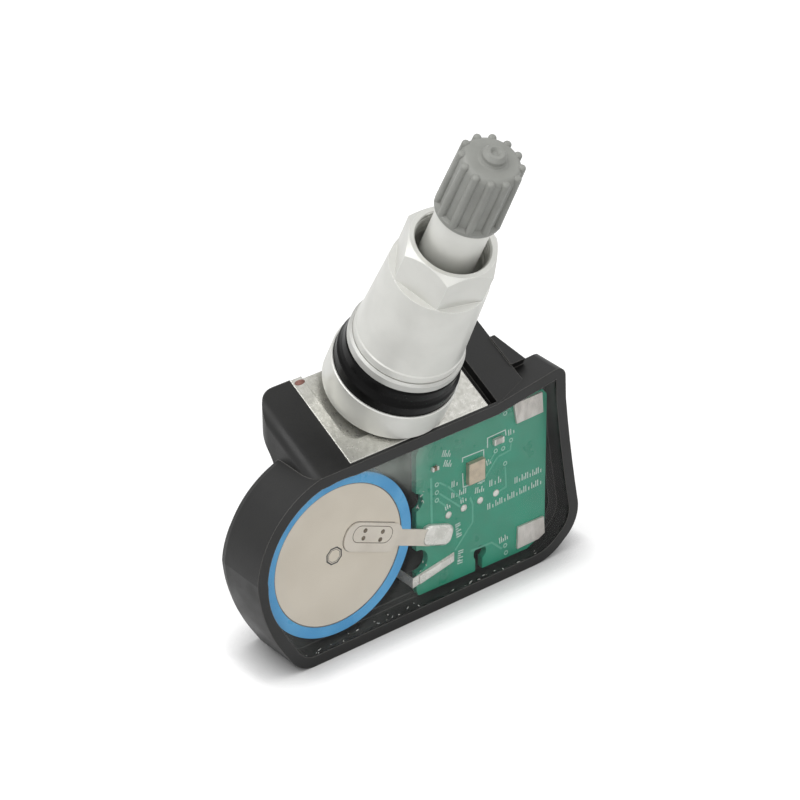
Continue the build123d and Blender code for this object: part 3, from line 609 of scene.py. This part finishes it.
class Mesh:
    """Collects vertices and faces for one piece, in the part's frame."""

    def __init__(self) -> None:
        """Starts an empty mesh."""
        self.bm = bmesh.new()

    def prism(self, front: list[Vector], depth: Vector) -> None:
        """Adds a closed prism.

        Args:
            front: the corners of its front face, in order.
            depth: the way from the front to the back.
        """
        near = [self.bm.verts.new(point) for point in front]
        far = [self.bm.verts.new(point + depth) for point in front]
        self.bm.faces.new(near)
        self.bm.faces.new(list(reversed(far)))
        for k in range(len(near)):
            after = (k + 1) % len(near)
            self.bm.faces.new((near[after], near[k], far[k], far[after]))

    def loops(self, rings: list[list[Vector]], closed_ends: bool = True, closed_ring: bool = False) -> None:
        """Joins rings of the same count by faces.

        Args:
            rings: the rings, each a closed loop of points.
            closed_ends: fills the first and the last ring.
            closed_ring: joins the last ring to the first.
        """
        rows = [[self.bm.verts.new(point) for point in ring] for ring in rings]
        pairs = list(zip(rows, rows[1:]))
        if closed_ring:
            pairs.append((rows[-1], rows[0]))
        for lower, upper in pairs:
            for k in range(len(lower)):
                after = (k + 1) % len(lower)
                self.bm.faces.new((lower[k], lower[after], upper[after], upper[k]))
        if closed_ends and not closed_ring:
            self.bm.faces.new(list(reversed(rows[0])))
            self.bm.faces.new(rows[-1])

    def finish(self, name: str, smooth: bool = False) -> bpy.types.Object:
        """Makes the object.

        Args:
            name: the piece's name.
            smooth: shades the faces smooth, apart from the many-sided end faces.

        Returns:
            The object, linked to the scene.
        """
        bmesh.ops.recalc_face_normals(self.bm, faces=self.bm.faces)
        for each in self.bm.faces:
            each.smooth = smooth and len(each.verts) <= 4
        data = bpy.data.meshes.new(name)
        self.bm.to_mesh(data)
        self.bm.free()
        piece = bpy.data.objects.new(name, data)
        bpy.context.scene.collection.objects.link(piece)
        return piece


@dataclass
class Dresser:
    """Gives pieces their material and body, and tells the log."""

    palette: Palette

    def dress(self, piece: bpy.types.Object, finish: Finish | ClearResin, body: Body, slot: str) -> None:
        """Finishes one new piece.

        Args:
            piece: the piece.
            finish: its finish.
            body: the body that it rides on.
            slot: the record's material slot; not used.
        """
        piece.data.materials.clear()
        piece.data.materials.append(self.palette.give(finish))
        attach(piece, body.value)
        log.info("piece %s rides on %s", piece.name, body.value)

    def dress_nodes(self, nodes: dict[str, bpy.types.Object]) -> None:
        """Gives every solid of the part its finish.

        Args:
            nodes: the solids by name.
        """
        for name, finish in NODE_FINISHES.items():
            node = nodes[name]
            node.data.materials.clear()
            node.data.materials.append(self.palette.give(finish))
            log.info("solid %s gets %s", name, finish.name)


@dataclass
class PottedFace:
    """The plane frame of the potted face, measured from the middle of the cell.

    Attributes:
        centre: the middle of the cell's face, in the part's frame.
    """

    centre: Vector

    def at(self, x: float, z: float, depth: float) -> Vector:
        """A point on the face.

        Args:
            x: millimetres to the right of the cell's middle.
            z: millimetres above it.
            depth: millimetres behind the cell's face.

        Returns:
            The point in the part's frame.
        """
        return self.centre + Vector((x, depth, z)) * MM

    def circle(self, spot: Spot, radius: float, depth: float, count: int = 20) -> list[Vector]:
        """Points of a circle round a spot.

        Args:
            spot: the circle's middle.
            radius: its radius.
            depth: the depth that it lies on.
            count: how many points it has.

        Returns:
            The points in the part's frame.
        """
        turns = [math.tau * (k + 0.5) / count for k in range(count)]
        return [self.at(spot[0] + radius * math.cos(a), spot[1] + radius * math.sin(a), depth) for a in turns]

    def annulus(self, mesh: Mesh, spot: Spot, radii: Span, back: float, rise: float, count: int = 20) -> None:
        """Adds a flat ring.

        Args:
            mesh: the mesh to add to.
            spot: the ring's middle.
            radii: the inner and the outer radius.
            back: the depth that it lies on.
            rise: how far it stands off.
            count: how many corners it has.
        """
        inner, outer = radii
        steps = ((inner, back), (inner, back - rise), (outer, back - rise), (outer, back))
        rings = [self.circle(spot, radius, depth, count) for radius, depth in steps]
        mesh.loops(rings, closed_ends=False, closed_ring=True)

    def ribbon(self, mesh: Mesh, path: Sequence[Spot], width: float, back: float, rise: float) -> None:
        """Adds a flat strip that follows a path.

        Args:
            mesh: the mesh to add to.
            path: the path's corners.
            width: the strip's width.
            back: the depth that it lies on.
            rise: how far it stands off.
        """
        points = [Vector(spot) for spot in path]
        left: list[Vector] = []
        right: list[Vector] = []
        for k, point in enumerate(points):
            before = (point - points[k - 1]).normalized() if k else (points[1] - point).normalized()
            after = (points[k + 1] - point).normalized() if k + 1 < len(points) else before
            along = (before + after).normalized()
            across = Vector((-along.y, along.x)) * (width / 2 / max(along.dot(before), MITRE_LEAST))
            left.append(point + across)
            right.append(point - across)
        corners = left + list(reversed(right))
        front = [self.at(c.x, c.y, back - rise) for c in corners]
        mesh.prism(front, Vector((0.0, rise * MM, 0.0)))


@dataclass
class BoardDetail:
    """What is printed, plated and etched on the circuit board's front.

    Attributes:
        face: the potted face.
        dresser: what gives the finish.
        front: the depth of the board's front.
        trace_rise: how far a trace stands off the board.
        print_rise: how far the print does.
        print_width: the width of a printed line.
        via_rise: how far a via's ring stands off.
        via_radii: the ring's inner and outer radius.
        pad_node: the solids that the domes stand for.
        pad_radius: the radius of a dome.
        pad_steps: its rings, as shares of the radius and heights.
        pads: the places of the domes.
        vias: the places of the vias.
        traces: the width and the path of each trace.
        prints: the path of each printed outline.
        labels: start, end, groups and height of each row of bars.
        bar_patterns: the bars of a group, as a shift and a share of the height.
    """

    face: PottedFace
    dresser: Dresser
    front: float = 0.5
    trace_rise: float = 0.035
    print_rise: float = 0.02
    print_width: float = 0.17
    via_rise: float = 0.05
    via_radii: Span = (0.2, 0.37)
    pad_node: str = "test_pads"
    pad_radius: float = 0.58
    pad_steps: tuple[Span, ...] = ((1.0, 0.0), (0.96, 0.06), (0.75, 0.12), (0.4, 0.16), (0.1, 0.17))
    pads: tuple[Spot, ...] = ((28.25, -1.58), (25.36, -1.64), (22.4, -1.71), (19.64, -1.75))
    vias: tuple[Spot, ...] = (
        (29.77, 10.87), (30.89, 6.1), (29.47, 5.29), (28.11, 5.41), (29.87, 2.67), (25.49, 1.39),
        (17.56, 4.06), (17.56, 2.78), (17.56, 1.5), (30.05, -11.1), (30.22, -12.39),
    )
    traces: tuple[tuple[float, tuple[Spot, ...]], ...] = (
        (0.4, ((16.53, 5.5), (16.66, -2.46))),
        (0.26, ((18.0, 4.23), (19.64, 2.9), (22.18, -0.3))),
        (0.26, ((18.0, 2.47), (21.74, -1.22))),
        (0.26, ((17.85, 1.3), (19.34, -0.25))),
        (0.3, ((23.54, -0.44), (24.0, -1.72), (24.02, -4.64), (20.86, -8.07))),
        (0.3, ((23.74, -9.41), (27.57, -9.59), (29.43, -11.41))),
        (0.28, ((30.9, 5.56), (30.76, 4.52), (28.48, 4.31), (25.94, 1.49))),
        (0.28, ((28.02, 5.18), (26.82, 3.87))),
        (0.3, ((29.88, 2.12), (30.07, -1.26), (28.7, -1.54))),
    )
    prints: tuple[tuple[Spot, ...], ...] = (
        ((26.65, 6.45), (26.63, 8.05), (29.85, 8.15), (29.98, 7.2)),
        ((22.14, 5.9), (22.16, 6.57), (25.95, 6.45), (26.09, 1.29), (24.88, 1.3)),
        ((22.17, 4.07), (22.3, 1.75), (23.38, 1.68)),
    )
    labels: tuple[tuple[Spot, Spot, int, float], ...] = (
        ((30.3, 7.45), (31.75, 7.53), 2, 0.95),
        ((18.6, 8.7), (20.05, 8.15), 3, 1.0),
        ((18.9, 7.0), (20.2, 6.47), 3, 1.0),
        ((26.5, 4.0), (27.4, 4.18), 2, 0.9),
        ((20.1, 3.0), (21.55, 2.95), 2, 0.95),
        ((20.1, 1.22), (22.9, 1.04), 4, 0.9),
        ((21.75, -0.4), (23.1, -0.26), 2, 0.85),
        ((24.45, 0.3), (26.1, 0.05), 3, 0.95),
        ((26.9, 0.43), (29.3, 0.43), 3, 1.05),
        ((19.05, -0.4), (20.1, -0.15), 2, 0.9),
        ((21.3, -3.8), (21.6, -6.15), 4, 0.95),
        ((21.9, -8.5), (21.75, -10.7), 4, 0.95),
        ((28.95, -9.9), (30.5, -9.7), 3, 1.0),
        ((31.6, -0.9), (36.85, -0.9), 8, 1.0),
        ((26.6, -3.3), (36.9, -2.9), 14, 1.0),
    )
    bar_patterns: tuple[tuple[Span, ...], ...] = (
        ((-0.18, 1.0), (0.18, 1.0)), ((0.0, 0.55),), ((-0.18, 1.0), (0.18, 0.5)),
    )

    def label(self, mesh: Mesh, start: Spot, end: Spot, count: int, height: float) -> None:
        """Adds a row of plain bars in the place of a printed label.

        Args:
            mesh: the mesh to add to.
            start: where the row starts.
            end: where it ends.
            count: how many groups of bars it has.
            height: how tall the bars are.
        """
        first, last = Vector(start), Vector(end)
        along = (last - first).normalized()
        across = Vector((-along.y, along.x))
        for k in range(count):
            middle = first.lerp(last, (k + 0.5) / count)
            for shift, share in self.bar_patterns[k % len(self.bar_patterns)]:
                foot = middle + along * shift - across * (height / 2)
                head = foot + across * height * share
                path = (tuple(foot), tuple(head))
                self.face.ribbon(mesh, path, self.print_width, self.front, self.print_rise)

    def build(self) -> None:
        """Builds and dresses the traces, the print, the vias and the pads' domes."""
        traces = Mesh()
        for width, path in self.traces:
            self.face.ribbon(traces, path, width, self.front, self.trace_rise)
        self.dresser.dress(traces.finish("board_traces"), TRACE_GREEN, Body.SENSOR, "board_green")
        prints = Mesh()
        for path in self.prints:
            self.face.ribbon(prints, path, self.print_width, self.front, self.print_rise)
        for start, end, count, height in self.labels:
            self.label(prints, start, end, count, height)
        self.dresser.dress(prints.finish("board_print"), PRINT_WHITE, Body.SENSOR, "board_green")
        vias = Mesh()
        for spot in self.vias:
            self.face.annulus(vias, spot, self.via_radii, self.front, self.via_rise)
        self.dresser.dress(vias.finish("board_vias"), VIA_PALE, Body.SENSOR, "solder")
        pads = Mesh()
        for spot in self.pads:
            pads.loops([
                self.face.circle(spot, share * self.pad_radius, self.front - rise)
                for share, rise in self.pad_steps
            ])
        domes = pads.finish("pad_domes", smooth=True)
        self.dresser.dress(domes, TINNED, Body.SENSOR, "solder")
        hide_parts(self.pad_node)


@dataclass
class ChipEnds:
    """The tinned ends of a small part on the board.

    Attributes:
        node: the part's solid.
        slot: its material slot.
        dresser: what gives the finish.
        cover: how much of the part's length an end covers.
        proud: how far it stands off the part.
        bevel: how much of its corners is cut.
    """

    node: str
    slot: str
    dresser: Dresser
    cover: float = 0.3
    proud: float = 0.03
    bevel: float = 0.06

    def build(self) -> None:
        """Builds and dresses both ends as blocks with bevelled corners."""
        low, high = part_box(self.node)
        cover, proud, cut = self.cover * MM, self.proud * MM, self.bevel * MM
        front, back = low.y - proud, high.y
        bottom, top = low.z - proud, high.z + proud
        mesh = Mesh()
        for left, right in ((low.x - proud, low.x + cover), (high.x - cover, high.x + proud)):
            corners = (
                (left + cut, bottom), (right - cut, bottom), (right, bottom + cut), (right, top - cut),
                (right - cut, top), (left + cut, top), (left, top - cut), (left, bottom + cut),
            )
            mesh.prism([Vector((x, front, z)) for x, z in corners], Vector((0.0, back - front, 0.0)))
        self.dresser.dress(mesh.finish(f"{self.node}_ends"), TINNED, Body.SENSOR, self.slot)


@dataclass(frozen=True)
class RoundedBox:
    """A turned rectangle with round corners on the potted face.

    Attributes:
        centre: its middle.
        size: its length and its width.
        round: the radius of its corners.
        turn: how far it is turned, in degrees.
    """

    centre: Spot
    size: Spot
    round: float
    turn: float

    def loop(self, grow: float = 0.0, steps: int = 6) -> list[Spot]:
        """The outline, grown outward.

        Args:
            grow: how far the outline is grown.
            steps: spans in each corner.

        Returns:
            The points, from the upper right corner over the upper left one round to the lower right one.
        """
        half_x, half_z = self.size[0] / 2, self.size[1] / 2
        turn = math.radians(self.turn)
        points: list[Spot] = []
        for corner, (sx, sz) in enumerate(((1, 1), (-1, 1), (-1, -1), (1, -1))):
            for k in range(steps + 1):
                angle = math.pi / 2 * (corner + k / steps)
                x = sx * (half_x - self.round) + (self.round + grow) * math.cos(angle)
                z = sz * (half_z - self.round) + (self.round + grow) * math.sin(angle)
                points.append((
                    self.centre[0] + x * math.cos(turn) - z * math.sin(turn),
                    self.centre[1] + x * math.sin(turn) + z * math.cos(turn),
                ))
        return points


@dataclass
class CellDetail:
    """The weld dots and lines on the tab, the painted shadow beside the tab and the painted shade along the
    sleeve's lip, and the mark on the cell.

    Attributes:
        face: the potted face.
        dresser: what gives the finish.
        tab_front: the depth of the tab's front.
        ink: how far a line stands off.
        welds: the places of the weld dots.
        weld_radius: the radius of a dot.
        weld_steps: its rings, as shares of the radius and heights.
        weld_count: points in a ring.
        slot_line: the closed line on the tab.
        tab_shadow_band: the painted shadow on the cell beside the tab, a dark band along its outline.
        line_width: the width of the line on the tab and of the painted shadow beside it.
        corner_steps: spans in a corner of the outline.
        mark_centre: the middle of the cell's mark.
        mark_bands: the inner and outer radius of its rings.
        mark_corners: how many corners they have.
        lip_shade_ring: the inner and outer radius of the painted shade in the gap along the sleeve's lip.
        lip_count: points in that ring of painted shade.
    """

    face: PottedFace
    dresser: Dresser
    tab_front: float = -0.2
    ink: float = 0.012
    welds: tuple[Spot, ...] = ((4.54, 2.22), (4.18, 1.14), (7.54, 0.83), (7.07, -0.28))
    weld_radius: float = 0.36
    weld_steps: tuple[Span, ...] = ((1.0, 0.0), (0.85, 0.05), (0.5, 0.08), (0.2, 0.085))
    weld_count: int = 14
    slot_line: RoundedBox = RoundedBox((5.8, 1.08), (7.2, 2.5), 1.2, -23.0)
    tab_shadow_band: RoundedBox = RoundedBox((5.9, 0.55), (10.4, 4.4), 1.9, -23.0)
    line_width: float = 0.1
    corner_steps: int = 6
    mark_centre: Spot = (-0.72, 0.22)
    mark_bands: tuple[Span, ...] = ((1.19, 1.42), (0.98, 1.05))
    mark_corners: int = 8
    lip_shade_ring: Span = (10.72, 10.86)
    lip_count: int = 96

    def build(self) -> None:
        """Builds and dresses the dots, the line on the tab, the painted shadow and shade on the cell, and the
        mark.
        """
        dots = Mesh()
        for spot in self.welds:
            dots.loops([
                self.face.circle(spot, share * self.weld_radius, self.tab_front - rise, self.weld_count)
                for share, rise in self.weld_steps
            ])
        self.dresser.dress(dots.finish("tab_welds", smooth=True), WELD_DARK, Body.SENSOR, "tab_metal")
        slot = Mesh()
        self.face.ribbon(slot, self.slot_line.loop(), self.line_width, self.tab_front, self.ink)
        self.dresser.dress(slot.finish("tab_line"), WELD_DARK, Body.SENSOR, "tab_metal")
        # Painted shadow beside the tab and painted shade in the gap along the sleeve's lip, as dark bands on
        # the cell.
        edge = Mesh()
        per_corner = self.corner_steps + 1
        outline = self.tab_shadow_band.loop(self.line_width / 2, self.corner_steps)
        shown = outline[per_corner - 1:3 * per_corner]
        self.face.ribbon(edge, shown, self.line_width, 0.0, self.ink)
        self.face.annulus(edge, (0.0, 0.0), self.lip_shade_ring, 0.0, self.ink, self.lip_count)
        self.dresser.dress(edge.finish("cell_painted_shade"), PAINTED_SHADE_GREY, Body.SENSOR, "cell_face")
        mark = Mesh()
        for radii in self.mark_bands:
            self.face.annulus(mark, self.mark_centre, radii, 0.0, self.ink, self.mark_corners)
        self.dresser.dress(mark.finish("cell_mark"), MARK_GREY, Body.SENSOR, "cell_face")


@dataclass
class RimFlecks:
    """Small pale flecks where the resin meets the rim and fills the gaps beside the cell.

    Attributes:
        face: the potted face.
        dresser: what gives the finish.
        seed: the start of the random draws.
        depth: the depth that the flecks lie on.
        rise: how thick they are.
        lengths: the least and the most half length.
        widths: the least and the most width.
        bend: the most that a fleck is bent, in radians.
        fields: the span across, the span up and the count of each patch of flecks.
    """

    face: PottedFace
    dresser: Dresser
    seed: int = 7
    depth: float = -1.1
    rise: float = 0.02
    lengths: Span = (0.06, 0.3)
    widths: Span = (0.06, 0.14)
    bend: float = 0.7
    fields: tuple[tuple[Span, Span, int], ...] = (
        ((-8.0, 16.0), (-13.6, -12.4), 18),
        ((17.0, 38.0), (-13.6, -12.7), 12),
        ((12.8, 14.0), (2.4, 5.2), 6),
        ((13.0, 14.4), (-8.8, -6.0), 6),
    )

    def build(self) -> None:
        """Scatters the flecks, the same ones each time."""
        draw = random.Random(self.seed)
        mesh = Mesh()
        for across, up, count in self.fields:
            for _ in range(count):
                middle = Vector((draw.uniform(*across), draw.uniform(*up)))
                heading = draw.uniform(0.0, math.pi)
                bend = draw.uniform(-self.bend, self.bend)
                half = draw.uniform(*self.lengths)
                first = middle - half * Vector((math.cos(heading), math.sin(heading)))
                last = middle + half * Vector((math.cos(heading + bend), math.sin(heading + bend)))
                path = (tuple(first), tuple(middle), tuple(last))
                self.face.ribbon(mesh, path, draw.uniform(*self.widths), self.depth, self.rise)
        self.dresser.dress(mesh.finish("rim_flecks"), FLECK_PALE, Body.SENSOR, "clear_resin")


@dataclass
class ResinSkin:
    """The resin's surface: a thin clear sheet that climbs a little at the walls.

    Attributes:
        potting: the resin's solid.
        dresser: what gives the finish.
        thickness: how thick the sheet is.
        climb: how far it climbs at the walls.
        steps: its rings, as millimetres inward and shares of the climb.
        same: how near two corners of the solid count as one, in metres.
        level: how near a corner counts as on the front face, in metres.
    """

    potting: bpy.types.Object
    dresser: Dresser
    thickness: float = 0.12
    climb: float = 0.14
    steps: tuple[Span, ...] = ((0.0, 1.0), (0.08, 0.5), (0.18, 0.15), (0.3, 0.0))
    same: float = 1e-6
    level: float = 1e-5

    def outline(self) -> list[Vector]:
        """The outline of the solid's front face.

        Returns:
            The longest loop of edges round the faces at the solid's front.
        """
        mesh = bmesh.new()
        mesh.from_mesh(self.potting.data)
        bmesh.ops.remove_doubles(mesh, verts=mesh.verts, dist=self.same)
        front = min(v.co.y for v in mesh.verts) + self.level
        mesh.faces.ensure_lookup_table()
        shown = {f for f in mesh.faces if all(v.co.y < front for v in f.verts)}
        rim = [e for e in mesh.edges if sum(f in shown for f in e.link_faces) == 1]
        links: dict[bmesh.types.BMVert, list[bmesh.types.BMVert]] = {}
        for edge in rim:
            first, second = edge.verts
            links.setdefault(first, []).append(second)
            links.setdefault(second, []).append(first)
        loops: list[list[Vector]] = []
        left = set(links)
        while left:
            start = min(left, key=lambda v: v.index)
            loop, here, before = [], start, None
            while here in left:
                left.discard(here)
                loop.append(here.co.copy())
                onward = [v for v in links[here] if v is not before and v in left]
                before, here = here, onward[0] if onward else start
            loops.append(loop)
        mesh.free()
        return max(loops, key=lambda loop: sum((a - b).length for a, b in zip(loop, loop[1:])))

    def inward(self, loop: list[Vector], by: float, rise: float) -> list[Vector]:
        """Moves a loop toward its inside and to the front.

        Args:
            loop: the outline.
            by: millimetres inward.
            rise: millimetres to the front.

        Returns:
            The moved loop.
        """
        area = sum(a.x * b.z - b.x * a.z for a, b in zip(loop, loop[1:] + loop[:1]))
        sign = 1.0 if area > 0 else -1.0
        moved = []
        for k, point in enumerate(loop):
            before = (point - loop[k - 1]).normalized()
            after = (loop[(k + 1) % len(loop)] - point).normalized()
            along = (before + after).normalized()
            across = Vector((-along.z, 0.0, along.x)) * sign
            moved.append(point + across * by * MM - Vector((0.0, rise * MM, 0.0)))
        return moved

    def build(self) -> None:
        """Builds the skin, which stands for the resin's solid."""
        outline = self.outline()
        rings = [self.inward(outline, by, share * self.climb) for by, share in self.steps]
        back = [point + Vector((0.0, self.thickness * MM, 0.0)) for point in outline]
        mesh = Mesh()
        mesh.loops([back, *rings])
        piece = mesh.finish("resin_skin", smooth=True)
        self.dresser.dress(piece, ClearResin(), Body.SENSOR, "clear_resin")
        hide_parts("potting")


@dataclass
class ScrewThread:
    """A helical ridge on the stem's axis.

    Attributes:
        name: the piece's name.
        body: the body that it rides on.
        slot: its material slot.
        root: the radius of the wall that it stands on.
        crest: the radius of its crest.
        low: where it starts along the axis.
        high: where it ends.
        pitch: how far it climbs in a turn.
        half: half its width at the root.
        shoulder: the share of that width where it leaves the wall.
        sunk: how far its foot reaches into the wall.
        segments: spans in a turn.
    """

    name: str
    body: Body
    slot: str
    root: float
    crest: float
    low: float
    high: float
    pitch: float
    half: float
    shoulder: float = 0.92
    sunk: float = 0.03
    segments: int = 56

    def build(self, origin: Vector, axis: Vector, dresser: Dresser) -> None:
        """Builds and dresses the ridge.

        Args:
            origin: the axis' start, in the part's frame.
            axis: the axis' direction.
            dresser: what gives the finish.
        """
        across = Vector((1.0, 0.0, 0.0))
        other = axis.cross(across)
        inward = self.sunk if self.crest < self.root else -self.sunk
        shoulder = self.shoulder * self.half
        section = (
            (self.root + inward, -self.half), (self.root, -shoulder), (self.crest, 0.0),
            (self.root, shoulder), (self.root + inward, self.half),
        )
        rings = []
        for k in range(int((self.high - self.low) / self.pitch * self.segments) + 1):
            angle = math.tau * k / self.segments
            height = self.low + self.pitch * k / self.segments
            way = across * math.cos(angle) + other * math.sin(angle)
            rings.append([origin + (way * radius + axis * (height + lift)) * MM for radius, lift in section])
        mesh = Mesh()
        mesh.loops(rings)
        dresser.dress(mesh.finish(self.name, smooth=True), SATIN_ALUMINIUM, self.body, self.slot)


THREADS = (
    ScrewThread("nut_thread", Body.NUT, "nut_aluminium", 5.17, 4.98, 28.95, 31.6, 0.62, 0.26),
    ScrewThread("stem_thread", Body.SENSOR, "stem_aluminium", 4.9, 4.95, 13.2, 25.2, 1.0, 0.4),
    ScrewThread("cap_thread", Body.SENSOR, "stem_aluminium", 3.6, 3.65, 38.9, 46.4, 0.794, 0.32),
)


@dataclass
class PlateMark:
    """A small oval of red-brown paint on the foot plate's strip.

    Attributes:
        origin: the stem's foot, on the plate's plane.
        normal: the plane's normal.
        dresser: what gives the finish.
        spot: the oval's place to the right of the stem and up the slope.
        half: half its length and half its width.
        steps: its rings, as shares of the half sizes and heights.
        count: points in a ring.
    """

    origin: Vector
    normal: Vector
    dresser: Dresser
    spot: Spot = (-10.8, 5.42)
    half: Spot = (0.85, 0.42)
    steps: tuple[Span, ...] = ((1.0, -0.01), (0.95, 0.02), (0.6, 0.04), (0.2, 0.045))
    count: int = 20

    def build(self) -> None:
        """Builds and dresses the oval."""
        right = Vector((1.0, 0.0, 0.0))
        up = self.normal.cross(right)
        middle = right * self.spot[0] + up * self.spot[1]
        rings = []
        for share, height in self.steps:
            ring = []
            for k in range(self.count):
                angle = math.tau * k / self.count
                reach = right * self.half[0] * math.cos(angle) + up * self.half[1] * math.sin(angle)
                ring.append(self.origin + (middle + reach * share + self.normal * height) * MM)
            rings.append(ring)
        mesh = Mesh()
        mesh.loops(rings)
        self.dresser.dress(mesh.finish("plate_mark", smooth=True), MARK_RED, Body.SENSOR, "plate_metal")


@dataclass
class Studio:
    """The white floor, the soft lights and the camera.

    Attributes:
        location: where the camera is, in millimetres.
        aim: the point that it looks at.
        roll: how far it is turned round its line of sight, in degrees.
        lens: its focal length.
        sensor: the width of its picture.
        clip: the nearest and the farthest that it sees, in metres.
        fill: the strength of the surround's light.
        floor_size: the side of the square floor, in metres.
        floor_depth: how thick it is, in millimetres.
        floor_grey: how much light the floor gives back.
        floor_lift: the floor's own glow, which makes it white.
        painted_shadow_reach: how near the object the glow is dimmed as a painted shadow, in millimetres.
        painted_shadow_power: how steeply that painted shadow deepens.
        lamps: name, place and size in metres, and power of each lamp.
    """

    location: Triple = (-241.36, -299.40, 264.50)
    aim: Triple = (-4.088, 0.05, 36.737)
    roll: float = -0.42
    lens: float = 150.12
    sensor: float = 36.0
    clip: Span = (0.01, 20.0)
    fill: float = 0.44
    floor_size: float = 3.0
    floor_depth: float = 5.0
    floor_grey: float = 0.5
    floor_lift: float = 0.68
    painted_shadow_reach: float = 5.5
    painted_shadow_power: float = 2.6
    lamps: tuple[tuple[str, Triple, float, float], ...] = (
        ("key", (-0.48, 0.14, 1.0), 0.8, 6.2),
        ("front", (-0.15, -0.95, 0.6), 0.9, 2.6),
        ("left", (-1.0, -0.25, 0.3), 0.7, 1.3),
        ("right", (0.8, -0.35, 0.75), 0.7, 1.4),
    )

    def camera(self) -> None:
        """Places the camera at the picture's angle."""
        data = bpy.data.cameras.new("camera")
        data.lens = self.lens
        data.sensor_width = self.sensor
        data.clip_start, data.clip_end = self.clip
        camera = bpy.data.objects.new("camera", data)
        camera.location = Vector(self.location) * MM
        look = (Vector(self.aim) - Vector(self.location)).to_track_quat("-Z", "Y")
        camera.rotation_mode = "QUATERNION"
        camera.rotation_quaternion = look @ Quaternion((0.0, 0.0, 1.0), math.radians(self.roll))
        bpy.context.scene.collection.objects.link(camera)
        bpy.context.scene.camera = camera

    def seen_directly(self, tree: bpy.types.NodeTree) -> Socket:
        """A value that is 1 for camera, glossy and transmission rays.

        Args:
            tree: the nodes to add it to.

        Returns:
            The value.
        """
        path = tree.nodes.new("ShaderNodeLightPath")
        total = path.outputs["Is Camera Ray"]
        for name in ("Is Glossy Ray", "Is Transmission Ray"):
            node = tree.nodes.new("ShaderNodeMath")
            node.operation = "MAXIMUM"
            tree.links.new(total, node.inputs[0])
            tree.links.new(path.outputs[name], node.inputs[1])
            total = node.outputs[0]
        return total

    def world(self) -> None:
        """A white surround that lights the object softly."""
        world = bpy.data.worlds.new("surround")
        world.use_nodes = True
        tree = world.node_tree
        tree.nodes.clear()
        soft = tree.nodes.new("ShaderNodeBackground")
        soft.inputs["Strength"].default_value = self.fill
        white = tree.nodes.new("ShaderNodeBackground")
        for node in (soft, white):
            node.inputs["Color"].default_value = (1.0, 1.0, 1.0, 1.0)
        mix = tree.nodes.new("ShaderNodeMixShader")
        tree.links.new(self.seen_directly(tree), mix.inputs[0])
        tree.links.new(soft.outputs[0], mix.inputs[1])
        tree.links.new(white.outputs[0], mix.inputs[2])
        output = tree.nodes.new("ShaderNodeOutputWorld")
        tree.links.new(mix.outputs[0], output.inputs["Surface"])
        bpy.context.scene.world = world

    def floor(self) -> None:
        """A white floor that keeps the object's shadow from the lamps, with a painted shadow close to the
        object.
        """
        mesh = Mesh()
        half = self.floor_size / 2
        mesh.prism(
            [Vector((x, y, 0.0)) for x, y in ((-half, -half), (half, -half), (half, half), (-half, half))],
            Vector((0.0, 0.0, -self.floor_depth * MM)),
        )
        floor = mesh.finish("floor")
        sheet = NodeSheet("floor_white")
        matt = sheet.add("ShaderNodeBsdfDiffuse")
        sheet.feed(matt.inputs["Color"], (self.floor_grey,) * 3)
        # Painted shadow: ambient occlusion dims the floor's glow close to the object.
        near = sheet.add("ShaderNodeAmbientOcclusion", samples=NODE_SAMPLES)
        near.inputs["Distance"].default_value = self.painted_shadow_reach * MM
        open_sky = sheet.maths("POWER", near.outputs["AO"], self.painted_shadow_power)
        glow = sheet.maths("MULTIPLY", open_sky, self.floor_lift)
        lift = sheet.add("ShaderNodeEmission")
        sheet.feed(lift.inputs["Strength"], sheet.maths("MULTIPLY", self.seen_directly(sheet.tree), glow))
        both = sheet.add("ShaderNodeAddShader")
        sheet.feed(both.inputs[0], matt.outputs[0])
        sheet.feed(both.inputs[1], lift.outputs[0])
        floor.data.materials.append(sheet.close(both.outputs[0]))

    def lights(self) -> None:
        """Soft square lamps that look at the object."""
        for name, spot, size, power in self.lamps:
            data = bpy.data.lights.new(name, "AREA")
            data.size = size
            data.energy = power
            lamp = bpy.data.objects.new(name, data)
            lamp.location = spot
            lamp.rotation_mode = "QUATERNION"
            lamp.rotation_quaternion = (Vector(self.aim) * MM - Vector(spot)).to_track_quat("-Z", "Y")
            bpy.context.scene.collection.objects.link(lamp)

    def build(self) -> None:
        """Builds the whole studio."""
        bpy.context.scene.view_settings.view_transform = "Standard"
        self.camera()
        self.world()
        self.floor()
        self.lights()


def main() -> None:
    """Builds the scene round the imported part."""
    logging.basicConfig(level=logging.INFO, format="%(name)s: %(message)s")
    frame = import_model()
    Studio().build()
    dresser = Dresser(Palette())
    dresser.dress_nodes(frame["nodes"])
    low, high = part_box("coin_cell")
    face = PottedFace(Vector(((low.x + high.x) / 2, low.y, (low.z + high.z) / 2)))
    BoardDetail(face, dresser).build()
    CellDetail(face, dresser).build()
    ResinSkin(frame["nodes"]["potting"], dresser).build()
    ChipEnds("chip_inductor", "inductor_body", dresser).build()
    ChipEnds("chip_capacitor", "capacitor_body", dresser).build()
    RimFlecks(face, dresser).build()
    turn = next(joint for joint in frame["joints"] if joint["name"] == "nut_turn")
    foot, axis = Vector(turn["pos_m"]), Vector(turn["axis"])
    PlateMark(foot, axis, dresser).build()
    for thread in THREADS:
        thread.build(foot, axis, dresser)


if __name__ == "__main__":
    main()
